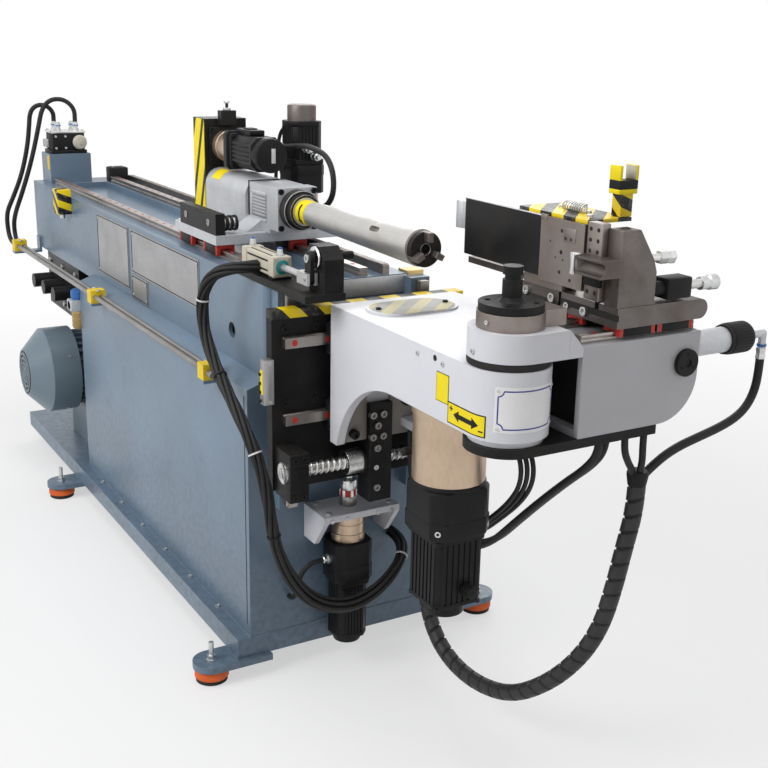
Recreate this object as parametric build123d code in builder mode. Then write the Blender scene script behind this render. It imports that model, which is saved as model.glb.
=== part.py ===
from build123d import *
from math import cos, radians, sin, tan
import os

os.makedirs("parts", exist_ok=True)

# Millimetres. Sizes are taken from the front face of the skid (x), its centre line (y) and the floor (z).
# +X points to the bending head, +Y to the side that the bend arm rests on.
origin_x = -619.0
origin_y = 72.0

# Fits
running_fit = 0.1
slide_gap = 0.4
seat_gap = 0.3

# Floor stand
mount_height = 36.0
mount_pad_height = 12.0
mount_radius = 41.0
mount_pad_radius = 38.0
ear_thickness = 16.0
ear_width = 90.0
ear_length = 140.0
foot_front_x = -32.0
foot_rear_x = -1333.0
foot_y = 380.0
stud_radius = 6.0
stud_length = 78.0
stud_seat_depth = 16.0
stud_nut_width = 19.0
stud_nut_height = 10.0
stud_washer_radius = 12.0
stud_washer_thickness = 2.5
skid_length = 1950.0
skid_width = 650.0
skid_height = 50.0
skid_rim = 40.0
skid_deck = 10.0

# Pedestal
pedestal_length = 1305.0
pedestal_width = 584.0
pedestal_height = 616.0
pedestal_wall = 8.0
shoulder_width = 50.0
shoulder_rise = 18.0

# Beam
beam_length = 2000.0
beam_left = -242.0
beam_width = 362.0
beam_height = 232.0
beam_wall = 10.0
beam_edge_radius = 20.0
trough_depth = 20.0
trough_end = 130.0
access_hole_radius = 19.0
access_hole_x = -198.0
access_hole_drop = 143.0
riser_length = 110.0
riser_left = -210.0
riser_width = 145.0
riser_height = 102.0
riser_inset = 10.0

# Linear guides: feed and lift size
guide_width = 23.0
guide_height = 20.0
guide_groove = 3.0
runner_width = 48.0
runner_length = 88.0
runner_lip = 14.0
feed_left_y = -192.0
feed_right_y = 6.0
feed_left_front = -175.0
feed_right_front = -8.0
feed_left_inset = 130.0
feed_right_inset = 150.0
rack_left = 58.0
rack_width = 17.0
rack_height = 22.0

# Switch boxes and side plates
rear_switch = (60.0, 45.0, 80.0)
rear_switch_inset = 450.0
rear_switch_z = 935.0
rail_switch = (55.0, 65.0, 50.0)
rail_switch_left = -5.0
brass_stop = (43.0, 45.0, 50.0)
brass_stop_rise = 5.0
plate_thickness = 2.0
side_plate_spans = (
    (-1243.0, -947.0, 757.0, 938.0),
    (-921.0, -400.0, 813.0, 938.0),
    (-927.0, -791.0, 738.0, 808.0),
)

# Hydraulic pipes
pipe_radius = 6.5
pipe_spacing = 18.0
pipe_y = -317.0
pipe_z = 727.0
pipe_front = -138.0
pipe_union_step = 2.0
pipe_union_length = 25.0
rear_clamp_inset = 40.0
middle_clamp_x = -1040.0
front_clamp_x = -160.0
clamp_length = 36.0
clamp_width = 44.0
clamp_height = 38.0
bracket_thickness = 8.0

# Rear valve block
valve_length = 95.0
valve_width = 125.0
valve_height = 78.0
valve_spool_radius = 25.0
valve_spool_length = 22.0
valve_port_radius = 9.0
valve_port_height = 30.0

# Pump set
motor_x = -1600.0
motor_z = 358.0
motor_core_radius = 112.0
motor_fin_radius = 128.0
motor_fin_thickness = 5.0
motor_fin_count = 28
motor_fin_root = 2.0
motor_flange_radius = 143.0
motor_bore_radius = 92.0
motor_flange_thickness = 12.0
motor_front = -268.0
motor_rear = -60.0
cowl_length = 143.0
cowl_wall = 4.0
cowl_cone_length = 62.0
cowl_grille_radius = 78.0
cowl_hole_radius = 5.0
cowl_ring_step = 16.0
cowl_ring_count = 4
cowl_ring_holes = 6
motor_foot_length = 180.0
motor_foot_span = 140.0
terminal_box = (100.0, 90.0, 30.0)
terminal_box_sink = 10.0
tank_rear = -1900.0
tank_front = -1340.0
tank_left = 20.0
tank_right = 300.0
tank_height = 368.0
tank_wall = 5.0
bell_radius = 95.0
manifold_rear = -1880.0
manifold_front = -1500.0
manifold_left = -238.0
manifold_right = -40.0
manifold_height = 186.0
manifold_wall = 12.0
solenoid_radius = 24.0
solenoid_length = 72.0
solenoid_count = 3
regulator_size = 40.0
regulator_top = 690.0
regulator_body = 90.0
regulator_bowl_radius = 17.0
regulator_bowl_length = 40.0
regulator_y = -302.0

# Front shelf with the support lever
shelf_rear = -163.0
shelf_front = 193.0
shelf_left = -243.0
shelf_width = 95.0
shelf_thickness = 16.0
pillow_length = 70.0
pillow_width = 46.0
pillow_height = 96.0
pillow_chamfer = 25.0
pillow_inset = 3.0
lever_axis_x = 152.0
lever_axis_height = 71.0
lever_length = 43.0
lever_thickness = 10.0
lever_hub_radius = 16.0
lever_eye_radius = 13.0
lever_shaft_radius = 8.0
lever_stub = 40.0
lever_gap = 10.0
air_body = 46.0
air_rear = -150.0
air_front = 20.0
air_foot = 5.0
air_rod_radius = 8.0
air_rod_depth = 60.0
air_pin_radius = 5.0
air_pin_play = 1.5
clevis_length = 48.0
clevis_width = 26.0
clevis_height = 26.0
clevis_slot = 12.0

# Lift drive on the pedestal front
lift_pad_depth = 34.0
lift_pad_width = 50.0
lift_pad_bottom = 430.0
lift_pad_top = 945.0
lift_left_y = -205.0
lift_right_y = 135.0
lift_rail_bottom = 440.0
lift_rail_top = 940.0
lift_x = 52.0
lift_y = -60.0
lift_screw_radius = 12.0
lift_screw_top = 860.0
coupling_radius = 20.0
coupling_height = 65.0
lift_bracket_top = 420.0
lift_bracket_plate = 16.0
lift_bracket_left = -150.0
lift_bracket_width = 200.0
lift_bracket_depth = 105.0
lift_bracket_web = 12.0
lift_bracket_drop = 67.0
lift_bracket_toe = 55.0
lift_gearbox_radius = 38.0
lift_gearbox_height = 69.0
lift_adaptor_size = 98.0
lift_adaptor_height = 99.0
lift_motor_size = 82.0
lift_motor_height = 166.0

# Slide plate that the lift raises
slide_back = 74.0
slide_thickness = 26.0
slide_left = -277.0
slide_right = 207.0
slide_bottom = 510.0
slide_top = 900.0
guard_height = 20.0
guard_overhang = 6.0
lift_runner_zs = (545.0, 790.0)
lift_nut_bottom = 560.0
lift_nut_height = 60.0
lift_nut_width = 50.0
lift_nut_depth = 44.0
shift_rail_zs = (675.0, 849.0)
shift_rail_left = -253.0
shift_rail_right = 197.0
strip_width = 23.0
strip_depth = 22.0
strip_bottom = 715.0
strip_top = 815.0
strip_lap = 10.0
shift_screw_x = 146.0
shift_screw_z = 567.0
shift_screw_radius = 16.0
bearing_depth = 76.0
bearing_left = -270.0
bearing_left_width = 45.0
bearing_right = 205.0
bearing_right_width = 40.0
bearing_bottom = 505.0
bearing_height = 110.0
bearing_cap_radius = 24.0
bearing_cap_height = 6.0

# Bend head
head_back = 140.0
head_left = -155.0
head_right = 160.0
head_top = 930.0
head_bottom = 800.0
head_wall = 20.0
head_roof = 25.0
head_step_x = 585.0
head_leg_bottom = 620.0
head_leg_x = 170.0
head_arch_x = 400.0
head_rear_wall_bottom = 632.0
head_box_back = 400.0
wing_back = 440.0
wing_right = 300.0
wing_thickness = 40.0
cover_length = 210.0
cover_width = 118.0
cover_thickness = 4.0
cover_x = 240.0
cover_y = -12.0
shift_runner_ys = (-150.0, 70.0)
shift_runner_height = 70.0
cable_shoe = (55.0, 136.0, 20.0)
cable_shoe_y = 80.0
cable_shoe_bottom = 640.0
drive_bar_left = -76.0
drive_bar_width = 56.0
drive_bar_bottom = 475.0
drive_bar_top = 705.0
drive_bar_back = 128.0
drive_bar_front = 180.0
nut_radius = 28.0
nut_flange_radius = 31.0
nut_flange_thickness = 10.0
nut_length = 49.0
bend_x = 497.0
gearbox_radius = 74.0
gearbox_length = 160.0
adaptor_size = 130.0
adaptor_length = 115.0
bend_motor_size = 124.0
bend_motor_length = 140.0
bend_cap_radius = 42.0
bend_cap_length = 30.0

# Spindle and arm
spindle_x = 677.0
spindle_y = -76.0
spindle_radius = 45.0
lug_gap = 14.0
lug_height = 52.0
lug_slope = 31.0
ring_radius = 70.0
arm_half_width = 77.0
arm_near = 31.0
arm_far = 315.0
arm_rise = 18.0
arm_height = 174.0
arm_wall = 18.0
arm_corner_radius = 90.0
lower_plate_thickness = 18.0
lower_plate_end = 221.0
trunnion_radius = 27.0
trunnion_thickness = 7.0
trunnion_y = 280.0
trunnion_drop = 58.0
seat_radius = 62.0
seat_height = 30.0
seat_neck_radius = 30.0
seat_lug_width = 74.0
seat_lug_end = 20.0
disc_radius = 59.5
disc_height = 15.0
post_radius = 18.0
post_height = 64.0
post_neck_radius = 14.0
post_neck_bottom = 40.0
post_neck_height = 9.0
arm_guide_width = 20.0
arm_guide_height = 15.0
arm_guide_offsets = (-57.0, 48.0)
arm_guide_start = 40.0
arm_guide_end = 312.0
clamp_cylinder_x = 690.0
clamp_cylinder_drop = 47.0
clamp_tube_radius = 26.0
clamp_tube_length = 125.0
clamp_cap_radius = 32.0
clamp_cap_length = 65.0
elbow_radius = 8.0
elbow_reach = 50.0
elbow_drop = 30.0
ferrule_radius = 10.5
ferrule_length = 23.0

# Clamp slide on the arm
arm_runner_width = 44.0
arm_runner_gap = 6.0
arm_runner_spans = ((118.0, 203.0), (209.0, 299.0))
clamp_bolster_left = 590.0
clamp_bolster_right = 754.0
clamp_bolster_near = 105.0
clamp_bolster_far = 306.0
clamp_bolster_rise = 24.0
clamp_bolster_height = 38.0
slot_neck = 12.0
slot_head = 22.0
slot_neck_depth = 16.0
slot_head_height = 9.0
clamp_slot_x = 694.0
tower_back = 715.0
tower_near = 102.0
tower_height = 141.0
tower_shoulder_y = 145.0
tower_waist_y = 190.0
tower_waist_height = 61.0
guide_bar_back = 674.0
guide_bar_near = 88.0
guide_bar_thickness = 20.0
guide_bar_rise = 6.0
guide_bar_height = 142.0
tower_rod_radius = 8.0
tower_rod_end = 243.0
tower_rod_rise = 83.0
sensor_rise = 25.0
sensor_radius = 14.0
sensor_box = (40.0, 60.0, 40.0)
sensor_nose_radius = 7.0
sensor_end = 360.0
tower_x = 735.0
die_near = 56.0
die_rise = 57.0
die_height = 33.0
tube_radius = 12.5

# Pressure die on the head
pressure_left = 467.0
pressure_right = 582.0
pressure_near = 105.0
pressure_far = 306.0
pressure_rise = 42.0
pressure_height = 51.0
pressure_rail_xs = (480.0, 560.0)
pressure_rail_near = 40.0
pressure_rail_far = 295.0
pressure_runner_gap = 10.0
pressure_runner_spans = ((115.0, 195.0), (205.0, 285.0))
booster_rail_left = 262.0
booster_rail_near = 112.0
booster_rail_width = 22.0
booster_rail_height = 13.0
booster_runner_left = 470.0
booster_runner_length = 120.0
booster_runner_height = 30.0
booster_runner_wall = 7.0
booster_left = 541.0
booster_right = 670.0
booster_near = 85.0
booster_thickness = 20.0
booster_rise = 19.0
booster_height = 123.0
cover_plate_left = 283.0
cover_plate_thickness = 16.0
cover_plate_rise = 6.0
end_bracket_length = 50.0
end_bracket_width = 30.0
end_bracket_height = 58.0
end_bracket_drop = 12.0
top_strip_left = 463.0
top_strip_near = 90.0
top_strip_far = 195.0
top_strip_thickness = 8.0
fork_x = 655.0
fork_y = 182.0
fork_post = 20.0
fork_post_height = 42.0
fork_head = (30.0, 44.0, 30.0)
fork_prong_height = 22.0
fork_prong_width = 14.0

# Carriage
tube_y = -44.0
tube_z = 1074.0
deck_rear = -600.0
deck_front = -323.0
deck_left = -227.0
deck_right = 160.0
deck_bottom = 986.0
deck_thickness = 24.0
drum_rear = -690.0
drum_front = -426.0
drum_half_width = 60.0
drum_top = 1130.0
drum_corner = 42.0
nose_half_width = 50.0
nose_top = 1124.0
nose_front = -300.0
foot_flare = 44.0
foot_flare_height = 30.0
foot_flare_front = -345.0
flange_front = -250.0
flange_half_width = 52.0
ring_large_radius = 48.0
ring_large_length = 28.0
ring_small_radius = 40.0
ring_small_length = 17.0
spindle_tube_radius = 28.0
guard_rear = -770.0
guard_half_width = 60.0
guard_bottom = 1015.0
guard_top = 1258.0
guard_wall = 5.0
tensioner = (25.0, 43.0, 37.0)
tensioner_bottom = 1243.0
tensioner_screw_radius = 4.0
tensioner_screw_length = 26.0
servo_z = 1187.0
rotary_gear_radius = 42.0
rotary_gear_length = 100.0
rotary_flange_size = 98.0
rotary_flange_length = 25.0
rotary_body_size = 88.0
rotary_body_length = 140.0
rotary_cap_radius = 43.0
rotary_cap_length = 33.0
pulley_radius = 38.0
pulley_width = 44.0
pulley_x = -732.0
pulley_shaft_radius = 12.0
belt_thickness = 3.0
feed_servo_x = -530.0
feed_servo_gear_radius = 42.0
feed_servo_gear_height = 65.0
feed_servo_adaptor_size = 96.0
feed_servo_adaptor_height = 75.0
feed_servo_body_size = 90.0
feed_servo_body_height = 112.0
feed_servo_cap_radius = 38.0
feed_servo_cap_height = 41.0
pinion_radius = 30.0
pinion_height = 18.0
pinion_shaft_radius = 10.0
pinion_mesh_gap = 0.5
side_bracket_rear = -560.0
side_bracket_thickness = 24.0
side_bracket_height = 52.0
stub_x = -345.0
stub_radius = 11.0
stub_ring_radius = 19.0
stub_ring_width = 6.0
stub_ring_count = 3
stub_length = 38.0

# Collet barrel and chuck
barrel_root = -205.0
barrel_collar_length = 55.0
barrel_collar_radius = 29.0
barrel_end = 318.0
barrel_end_radius = 38.5
tube_clearance = 0.5
barrel_bore_depth = 100.0
chuck_bore_radius = 14.6
barrel_slot_x = 178.0
barrel_slot_angle = 34.0
barrel_slot_length = 40.0
barrel_slot_width = 12.0
chuck_radius = 36.5
chuck_length = 20.0
jaw_width = 12.0
jaw_inner = 17.0
jaw_outer = 36.0
jaw_seat = 14.0
jaw_length = 32.0
jaw_count = 3

# Hoses and cables
bundle_radius = 18.0
bundle_waist_radius = 16.6
bundle_turn_length = 42.0
boot_radius = 21.0
boot_height = 30.0
clamp_hose_radius = 9.0
drop_hose_radius = 7.0
air_bundle_radius = 15.0
motor_cable_radius = 6.0
rear_hose_radius = 8.0
return_hose_radius = 8.0
head_cable_radius = 5.0
servo_cable_radius = 7.0

# Levels that follow from the sizes above
ear_bottom = mount_height
skid_bottom = ear_bottom + ear_thickness
skid_top = skid_bottom + skid_height
pedestal_top = skid_top + pedestal_height
beam_top = pedestal_top + beam_height
beam_right = beam_left + beam_width
riser_top = beam_top + riser_height
riser_rear = -beam_length + riser_inset
feed_left_rear = -beam_length + feed_left_inset
feed_right_rear = -beam_length + feed_right_inset
rear_switch_x = -beam_length + rear_switch_inset
brass_stop_top = beam_top + brass_stop_rise
pipe_rear = -beam_length
clamp_xs = (-beam_length + rear_clamp_inset, middle_clamp_x, front_clamp_x)
deck_top = deck_bottom + deck_thickness
slide_front = slide_back + slide_thickness
shift_rail_front = slide_front + guide_height
shelf_bottom = beam_top
shelf_top = shelf_bottom + shelf_thickness
lug_bottom = head_top + lug_gap
lug_top = lug_bottom + lug_height
arm_top = lug_bottom + arm_rise
arm_bottom = arm_top - arm_height
seat_top = lug_top + seat_height
disc_top = seat_top + disc_height
clamp_bolster_bottom = arm_top + clamp_bolster_rise
clamp_bolster_top = clamp_bolster_bottom + clamp_bolster_height
arm_runner_bottom = arm_top + arm_runner_gap
pressure_bottom = head_top + pressure_rise
pressure_top = pressure_bottom + pressure_height
pressure_runner_bottom = head_top + pressure_runner_gap
booster_bottom = pressure_top + booster_rise
booster_top = booster_bottom + booster_height
lower_plate_bottom = arm_bottom - lower_plate_thickness
arm_back = spindle_x - arm_half_width
arm_front = spindle_x + arm_half_width
chuck_face = barrel_end + chuck_length


# Helpers that add to, or cut from, the piece being built
def slab(xs, ys, zs, mode=Mode.ADD):
    with Locations(((xs[0] + xs[1]) / 2, (ys[0] + ys[1]) / 2, (zs[0] + zs[1]) / 2)):
        Box(xs[1] - xs[0], ys[1] - ys[0], zs[1] - zs[0], mode=mode)


def bar_x(xs, y, z, radius, mode=Mode.ADD):
    with Locations(Location(((xs[0] + xs[1]) / 2, y, z), (0, 90, 0))):
        Cylinder(radius, xs[1] - xs[0], mode=mode)


def bar_y(x, ys, z, radius, mode=Mode.ADD):
    with Locations(Location((x, (ys[0] + ys[1]) / 2, z), (90, 0, 0))):
        Cylinder(radius, ys[1] - ys[0], mode=mode)


def cone_y(x, ys, z, front_radius, rear_radius, mode=Mode.ADD):
    with Locations(Location((x, (ys[0] + ys[1]) / 2, z), (90, 0, 0))):
        Cone(rear_radius, front_radius, ys[1] - ys[0], mode=mode)


def bar_z(x, y, zs, radius, mode=Mode.ADD):
    with Locations((x, y, (zs[0] + zs[1]) / 2)):
        Cylinder(radius, zs[1] - zs[0], mode=mode)


def square_x(xs, y, z, size):
    slab(xs, (y - size / 2, y + size / 2), (z - size / 2, z + size / 2))


def square_z(x, y, zs, size):
    slab((x - size / 2, x + size / 2), (y - size / 2, y + size / 2), zs)


def profile_along_x(xs, points):
    with BuildSketch(Plane.YZ.offset(xs[0])) as section:
        with BuildLine():
            Polyline(*points, close=True)
        make_face()
    extrude(section.sketch, amount=xs[1] - xs[0], dir=(1, 0, 0))


def profile_along_y(ys, points):
    with BuildSketch(Plane.XZ.offset(-ys[1])) as section:
        with BuildLine():
            Polyline(*points, close=True)
        make_face()
    extrude(section.sketch, amount=ys[1] - ys[0], dir=(0, -1, 0))


def guide_section(width, height, groove):
    half = width / 2
    waist = half - groove
    return [
        (-half, 0),
        (half, 0),
        (half, 0.35 * height),
        (waist, 0.5 * height),
        (waist, 0.65 * height),
        (half, 0.8 * height),
        (half, height),
        (-half, height),
        (-half, 0.8 * height),
        (-waist, 0.65 * height),
        (-waist, 0.5 * height),
        (-half, 0.35 * height),
    ]


def guide_rail(plane, length, width, height):
    with BuildSketch(plane) as section:
        with BuildLine():
            Polyline(*guide_section(width, height, guide_groove), close=True)
        make_face()
    extrude(section.sketch, amount=length, dir=plane.z_dir)


def route_radii(points):
    radii = []
    for before, corner, after in zip(points, points[1:], points[2:]):
        first = Vector(corner) - Vector(before)
        second = Vector(after) - Vector(corner)
        turn = first.get_angle(second)
        radii.append(0.45 * min(first.length, second.length) / tan(radians(turn / 2)))
    return radii


def hose(name, points, radius):
    radii = route_radii(points)
    print(name, "radii", [round(value) for value in radii], "diameter", 2 * radius)
    with BuildLine() as route:
        FilletPolyline(*points, radius=radii)
    with BuildSketch(Plane(origin=points[0], z_dir=Vector(points[1]) - Vector(points[0]))) as section:
        Circle(radius)
    sweep(section.sketch, path=route.wire())
    print(name, "length", round(route.wire().length))


def write(piece, label):
    placed = piece.part.moved(Location((-origin_x, -origin_y, 0)))
    placed.label = label
    export_step(placed, f"parts/{label}.step")


# Base skid with its welded foot ears
foot_xs = (foot_front_x, foot_rear_x)
with BuildPart() as base_skid:
    slab((-skid_length, 0), (-skid_width / 2, skid_width / 2), (skid_bottom, skid_top))
    pocket_length = (skid_length - 3 * skid_rim) / 2
    pocket_width = skid_width - 2 * skid_rim
    for pocket_front in (-skid_rim, -2 * skid_rim - pocket_length):
        slab(
            (pocket_front - pocket_length, pocket_front),
            (-pocket_width / 2, pocket_width / 2),
            (skid_bottom, skid_top - skid_deck),
            Mode.SUBTRACT,
        )
    with BuildSketch(Plane.XY.offset(ear_bottom)):
        for x in foot_xs:
            for side in (-1, 1):
                with Locations((x, side * foot_y)):
                    Circle(ear_width / 2)
                with Locations((x, side * (foot_y - ear_length / 2))):
                    Rectangle(ear_width, ear_length)
        with Locations(*[(x, side * foot_y) for x in foot_xs for side in (-1, 1)]):
            Circle(stud_radius + slide_gap, mode=Mode.SUBTRACT)
    extrude(amount=ear_thickness)
write(base_skid, "base_skid")

# Rubber mounts: a metal cap over a rubber pad
with BuildPart() as foot_mounts:
    for x in foot_xs:
        for side in (-1, 1):
            bar_z(x, side * foot_y, (0, mount_pad_height), mount_pad_radius)
            bar_z(x, side * foot_y, (mount_pad_height, mount_height), mount_radius)
            bar_z(
                x,
                side * foot_y,
                (mount_height - stud_seat_depth, mount_height),
                stud_radius + slide_gap,
                Mode.SUBTRACT,
            )
write(foot_mounts, "foot_mounts")

with BuildPart() as foot_studs:
    stud_bottom = mount_height - stud_seat_depth
    washer_top = skid_bottom + stud_washer_thickness
    for x in foot_xs:
        for side in (-1, 1):
            bar_z(x, side * foot_y, (stud_bottom, stud_bottom + stud_length), stud_radius)
            bar_z(x, side * foot_y, (skid_bottom, washer_top), stud_washer_radius)
            with BuildSketch(Plane.XY.offset(washer_top)):
                with Locations((x, side * foot_y)):
                    RegularPolygon(stud_nut_width / 2, 6, major_radius=False)
            extrude(amount=stud_nut_height)
write(foot_studs, "foot_studs")

# Pedestal: a welded box with sloped shoulders, pipe brackets and the pads of the lift rails
clamp_bottom = pipe_z - clamp_height / 2
with BuildPart() as pedestal:
    half = pedestal_width / 2
    slab((-pedestal_length, 0), (-half, half), (skid_top, pedestal_top))
    slab(
        (-pedestal_length + pedestal_wall, -pedestal_wall),
        (-half + pedestal_wall, half - pedestal_wall),
        (skid_top, pedestal_top - pedestal_wall),
        Mode.SUBTRACT,
    )
    for edge, side in ((beam_left, -1), (beam_right, 1)):
        profile_along_x(
            (-pedestal_length, 0),
            [
                (edge, pedestal_top),
                (edge + side * shoulder_width, pedestal_top),
                (edge, pedestal_top + shoulder_rise),
            ],
        )
    for x in clamp_xs[1:]:
        slab(
            (x - clamp_length / 2, x + clamp_length / 2),
            (pipe_y - clamp_width / 2, -half),
            (clamp_bottom - bracket_thickness, clamp_bottom),
        )
    for y in (lift_left_y, lift_right_y):
        slab(
            (0, lift_pad_depth),
            (y - lift_pad_width / 2, y + lift_pad_width / 2),
            (lift_pad_bottom, lift_pad_top),
        )
write(pedestal, "pedestal")

# Beam: a closed box with a trough between the rails and the riser of the valve block
with BuildPart() as beam:
    slab((-beam_length, 0), (beam_left, beam_right), (pedestal_top, beam_top))
    front_left = beam.edges().filter_by(Axis.Z).group_by(Axis.X)[-1].sort_by(Axis.Y)[0]
    fillet(front_left, beam_edge_radius)
    slab(
        (-beam_length + beam_wall, -beam_wall - beam_edge_radius),
        (beam_left + beam_wall, beam_right - beam_wall),
        (pedestal_top + beam_wall, beam_top - trough_depth - beam_wall),
        Mode.SUBTRACT,
    )
    slab(
        (-beam_length + trough_end, -beam_wall),
        (feed_left_y + runner_width / 2, feed_right_y - runner_width / 2),
        (beam_top - trough_depth, beam_top),
        Mode.SUBTRACT,
    )
    bar_y(
        access_hole_x,
        (beam_left, beam_left + beam_wall),
        beam_top - access_hole_drop,
        access_hole_radius,
        Mode.SUBTRACT,
    )
    slab(
        (riser_rear, riser_rear + riser_length),
        (riser_left, riser_left + riser_width),
        (beam_top, riser_top),
    )
    slab(
        (clamp_xs[0] - clamp_length / 2, clamp_xs[0] + clamp_length / 2),
        (pipe_y - clamp_width / 2, beam_left),
        (clamp_bottom - bracket_thickness, clamp_bottom),
    )
    slab(
        (clamp_xs[0] - clamp_length / 2, clamp_xs[0] + clamp_length / 2),
        (beam_left - bracket_thickness, beam_left),
        (clamp_bottom - bracket_thickness, pedestal_top + clamp_height),
    )
write(beam, "beam")

# Rails of the feed and of the lift, and the rack beside the far rail
with BuildPart() as base_rails:
    for rear, front, y in (
        (feed_left_rear, feed_left_front, feed_left_y),
        (feed_right_rear, feed_right_front, feed_right_y),
    ):
        plane = Plane(origin=(rear, y, beam_top), x_dir=(0, 1, 0), z_dir=(1, 0, 0))
        guide_rail(plane, front - rear, guide_width, guide_height)
    for y in (lift_left_y, lift_right_y):
        plane = Plane(
            origin=(lift_pad_depth, y, lift_rail_bottom), x_dir=(0, -1, 0), z_dir=(0, 0, 1)
        )
        guide_rail(plane, lift_rail_top - lift_rail_bottom, guide_width, guide_height)
    slab(
        (feed_right_rear, feed_right_front),
        (rack_left, rack_left + rack_width),
        (beam_top, beam_top + rack_height),
    )
write(base_rails, "base_rails")

# Switch boxes at the rear left, at the end of the far rail and at the front right
with BuildPart() as limit_switches:
    slab(
        (rear_switch_x - rear_switch[0] / 2, rear_switch_x + rear_switch[0] / 2),
        (beam_left - rear_switch[1], beam_left),
        (rear_switch_z - rear_switch[2] / 2, rear_switch_z + rear_switch[2] / 2),
    )
    slab(
        (feed_right_rear - rail_switch[0], feed_right_rear),
        (rail_switch_left, rail_switch_left + rail_switch[1]),
        (beam_top, beam_top + rail_switch[2]),
    )
    slab(
        (-brass_stop[0], 0),
        (beam_right, beam_right + brass_stop[1]),
        (brass_stop_top - brass_stop[2], brass_stop_top),
    )
write(limit_switches, "limit_switches")

with BuildPart() as side_plates:
    for rear, front, bottom, top in side_plate_spans:
        slab((rear, front), (beam_left - plate_thickness, beam_left), (bottom, top))
write(side_plates, "side_plates")

# Two pipes along the side, held in three clamps
pipe_ys = (pipe_y - pipe_spacing / 2, pipe_y + pipe_spacing / 2)
with BuildPart() as hydraulic_pipes:
    for y in pipe_ys:
        bar_x((pipe_rear, pipe_front), y, pipe_z, pipe_radius)
        bar_x((pipe_front, pipe_front + pipe_union_length), y, pipe_z, pipe_radius + pipe_union_step)
write(hydraulic_pipes, "hydraulic_pipes")

with BuildPart() as pipe_clamps:
    for x in clamp_xs:
        slab(
            (x - clamp_length / 2, x + clamp_length / 2),
            (pipe_y - clamp_width / 2, pipe_y + clamp_width / 2),
            (clamp_bottom, clamp_bottom + clamp_height),
        )
    for y in pipe_ys:
        bar_x((pipe_rear, pipe_front), y, pipe_z, pipe_radius + running_fit, Mode.SUBTRACT)
write(pipe_clamps, "pipe_clamps")

# Valve block on the riser
valve_rear = riser_rear + (riser_length - valve_length) / 2
valve_left = riser_left + (riser_width - valve_width) / 2
with BuildPart() as valve_block:
    slab(
        (valve_rear, valve_rear + valve_length),
        (valve_left, valve_left + valve_width),
        (riser_top, riser_top + valve_height),
    )
    spool_y = valve_left + valve_width - valve_spool_radius
    spool_z = riser_top + valve_height / 2
    spool_x = valve_rear + valve_length
    bar_x((spool_x, spool_x + valve_spool_length), spool_y, spool_z, valve_spool_radius)
    with Locations((valve_rear + valve_length / 2, valve_left + valve_width / 2, riser_top + valve_height)):
        with GridLocations(valve_length / 2, valve_width / 2, 2, 2):
            Cylinder(
                valve_port_radius,
                valve_port_height,
                align=(Align.CENTER, Align.CENTER, Align.MIN),
            )
write(valve_block, "valve_block")

# Pump motor: finned body with foot and terminal box, and the cowl over its fan
with BuildPart() as pump_motor:
    bar_y(motor_x, (motor_front + motor_flange_thickness, motor_rear), motor_z, motor_core_radius)
    fin_length = motor_rear - motor_front - 2 * motor_flange_thickness
    fin_plane = Plane(
        origin=(motor_x, motor_front + motor_flange_thickness, motor_z), x_dir=(1, 0, 0), z_dir=(0, 1, 0)
    )
    fin_root_radius = motor_core_radius - motor_fin_root
    fin_middle = (fin_root_radius + motor_fin_radius) / 2
    with BuildSketch(fin_plane):
        with PolarLocations(fin_middle, motor_fin_count):
            Rectangle(motor_fin_radius - fin_root_radius, motor_fin_thickness)
    extrude(amount=fin_length)
    for y in (motor_front, motor_rear - motor_flange_thickness):
        bar_y(motor_x, (y, y + motor_flange_thickness), motor_z, motor_flange_radius)
    foot_middle = (motor_front + motor_rear) / 2
    slab(
        (motor_x - motor_foot_length / 2, motor_x + motor_foot_length / 2),
        (foot_middle - motor_foot_span / 2, foot_middle + motor_foot_span / 2),
        (skid_top, motor_z - motor_core_radius + motor_flange_thickness),
    )
    bar_y(
        motor_x,
        (motor_front + 2 * motor_flange_thickness, motor_rear - 2 * motor_flange_thickness),
        motor_z,
        motor_bore_radius,
        Mode.SUBTRACT,
    )
    slab(
        (motor_x - terminal_box[0] / 2, motor_x + terminal_box[0] / 2),
        (foot_middle - terminal_box[1] / 2, foot_middle + terminal_box[1] / 2),
        (motor_z + motor_core_radius - terminal_box_sink, motor_z + motor_fin_radius + terminal_box[2]),
    )
    cowl_front = motor_front - cowl_length
    cowl_shoulder = cowl_front + cowl_cone_length
    cowl_rear = motor_front - running_fit
    bar_y(motor_x, (cowl_shoulder, cowl_rear), motor_z, motor_flange_radius)
    cone_y(motor_x, (cowl_front, cowl_shoulder), motor_z, cowl_grille_radius, motor_flange_radius)
    inner_radius = motor_flange_radius - cowl_wall
    bar_y(motor_x, (cowl_shoulder, cowl_rear), motor_z, inner_radius, Mode.SUBTRACT)
    cone_y(
        motor_x,
        (cowl_front + cowl_wall, cowl_shoulder),
        motor_z,
        cowl_grille_radius - cowl_wall,
        inner_radius,
        Mode.SUBTRACT,
    )
    grille = Plane(origin=(motor_x, cowl_front, motor_z), x_dir=(1, 0, 0), z_dir=(0, 1, 0))
    with BuildSketch(grille):
        for ring in range(1, cowl_ring_count + 1):
            with PolarLocations(ring * cowl_ring_step, ring * cowl_ring_holes):
                Circle(cowl_hole_radius)
    extrude(amount=cowl_wall, mode=Mode.SUBTRACT)
write(pump_motor, "pump_motor")

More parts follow.
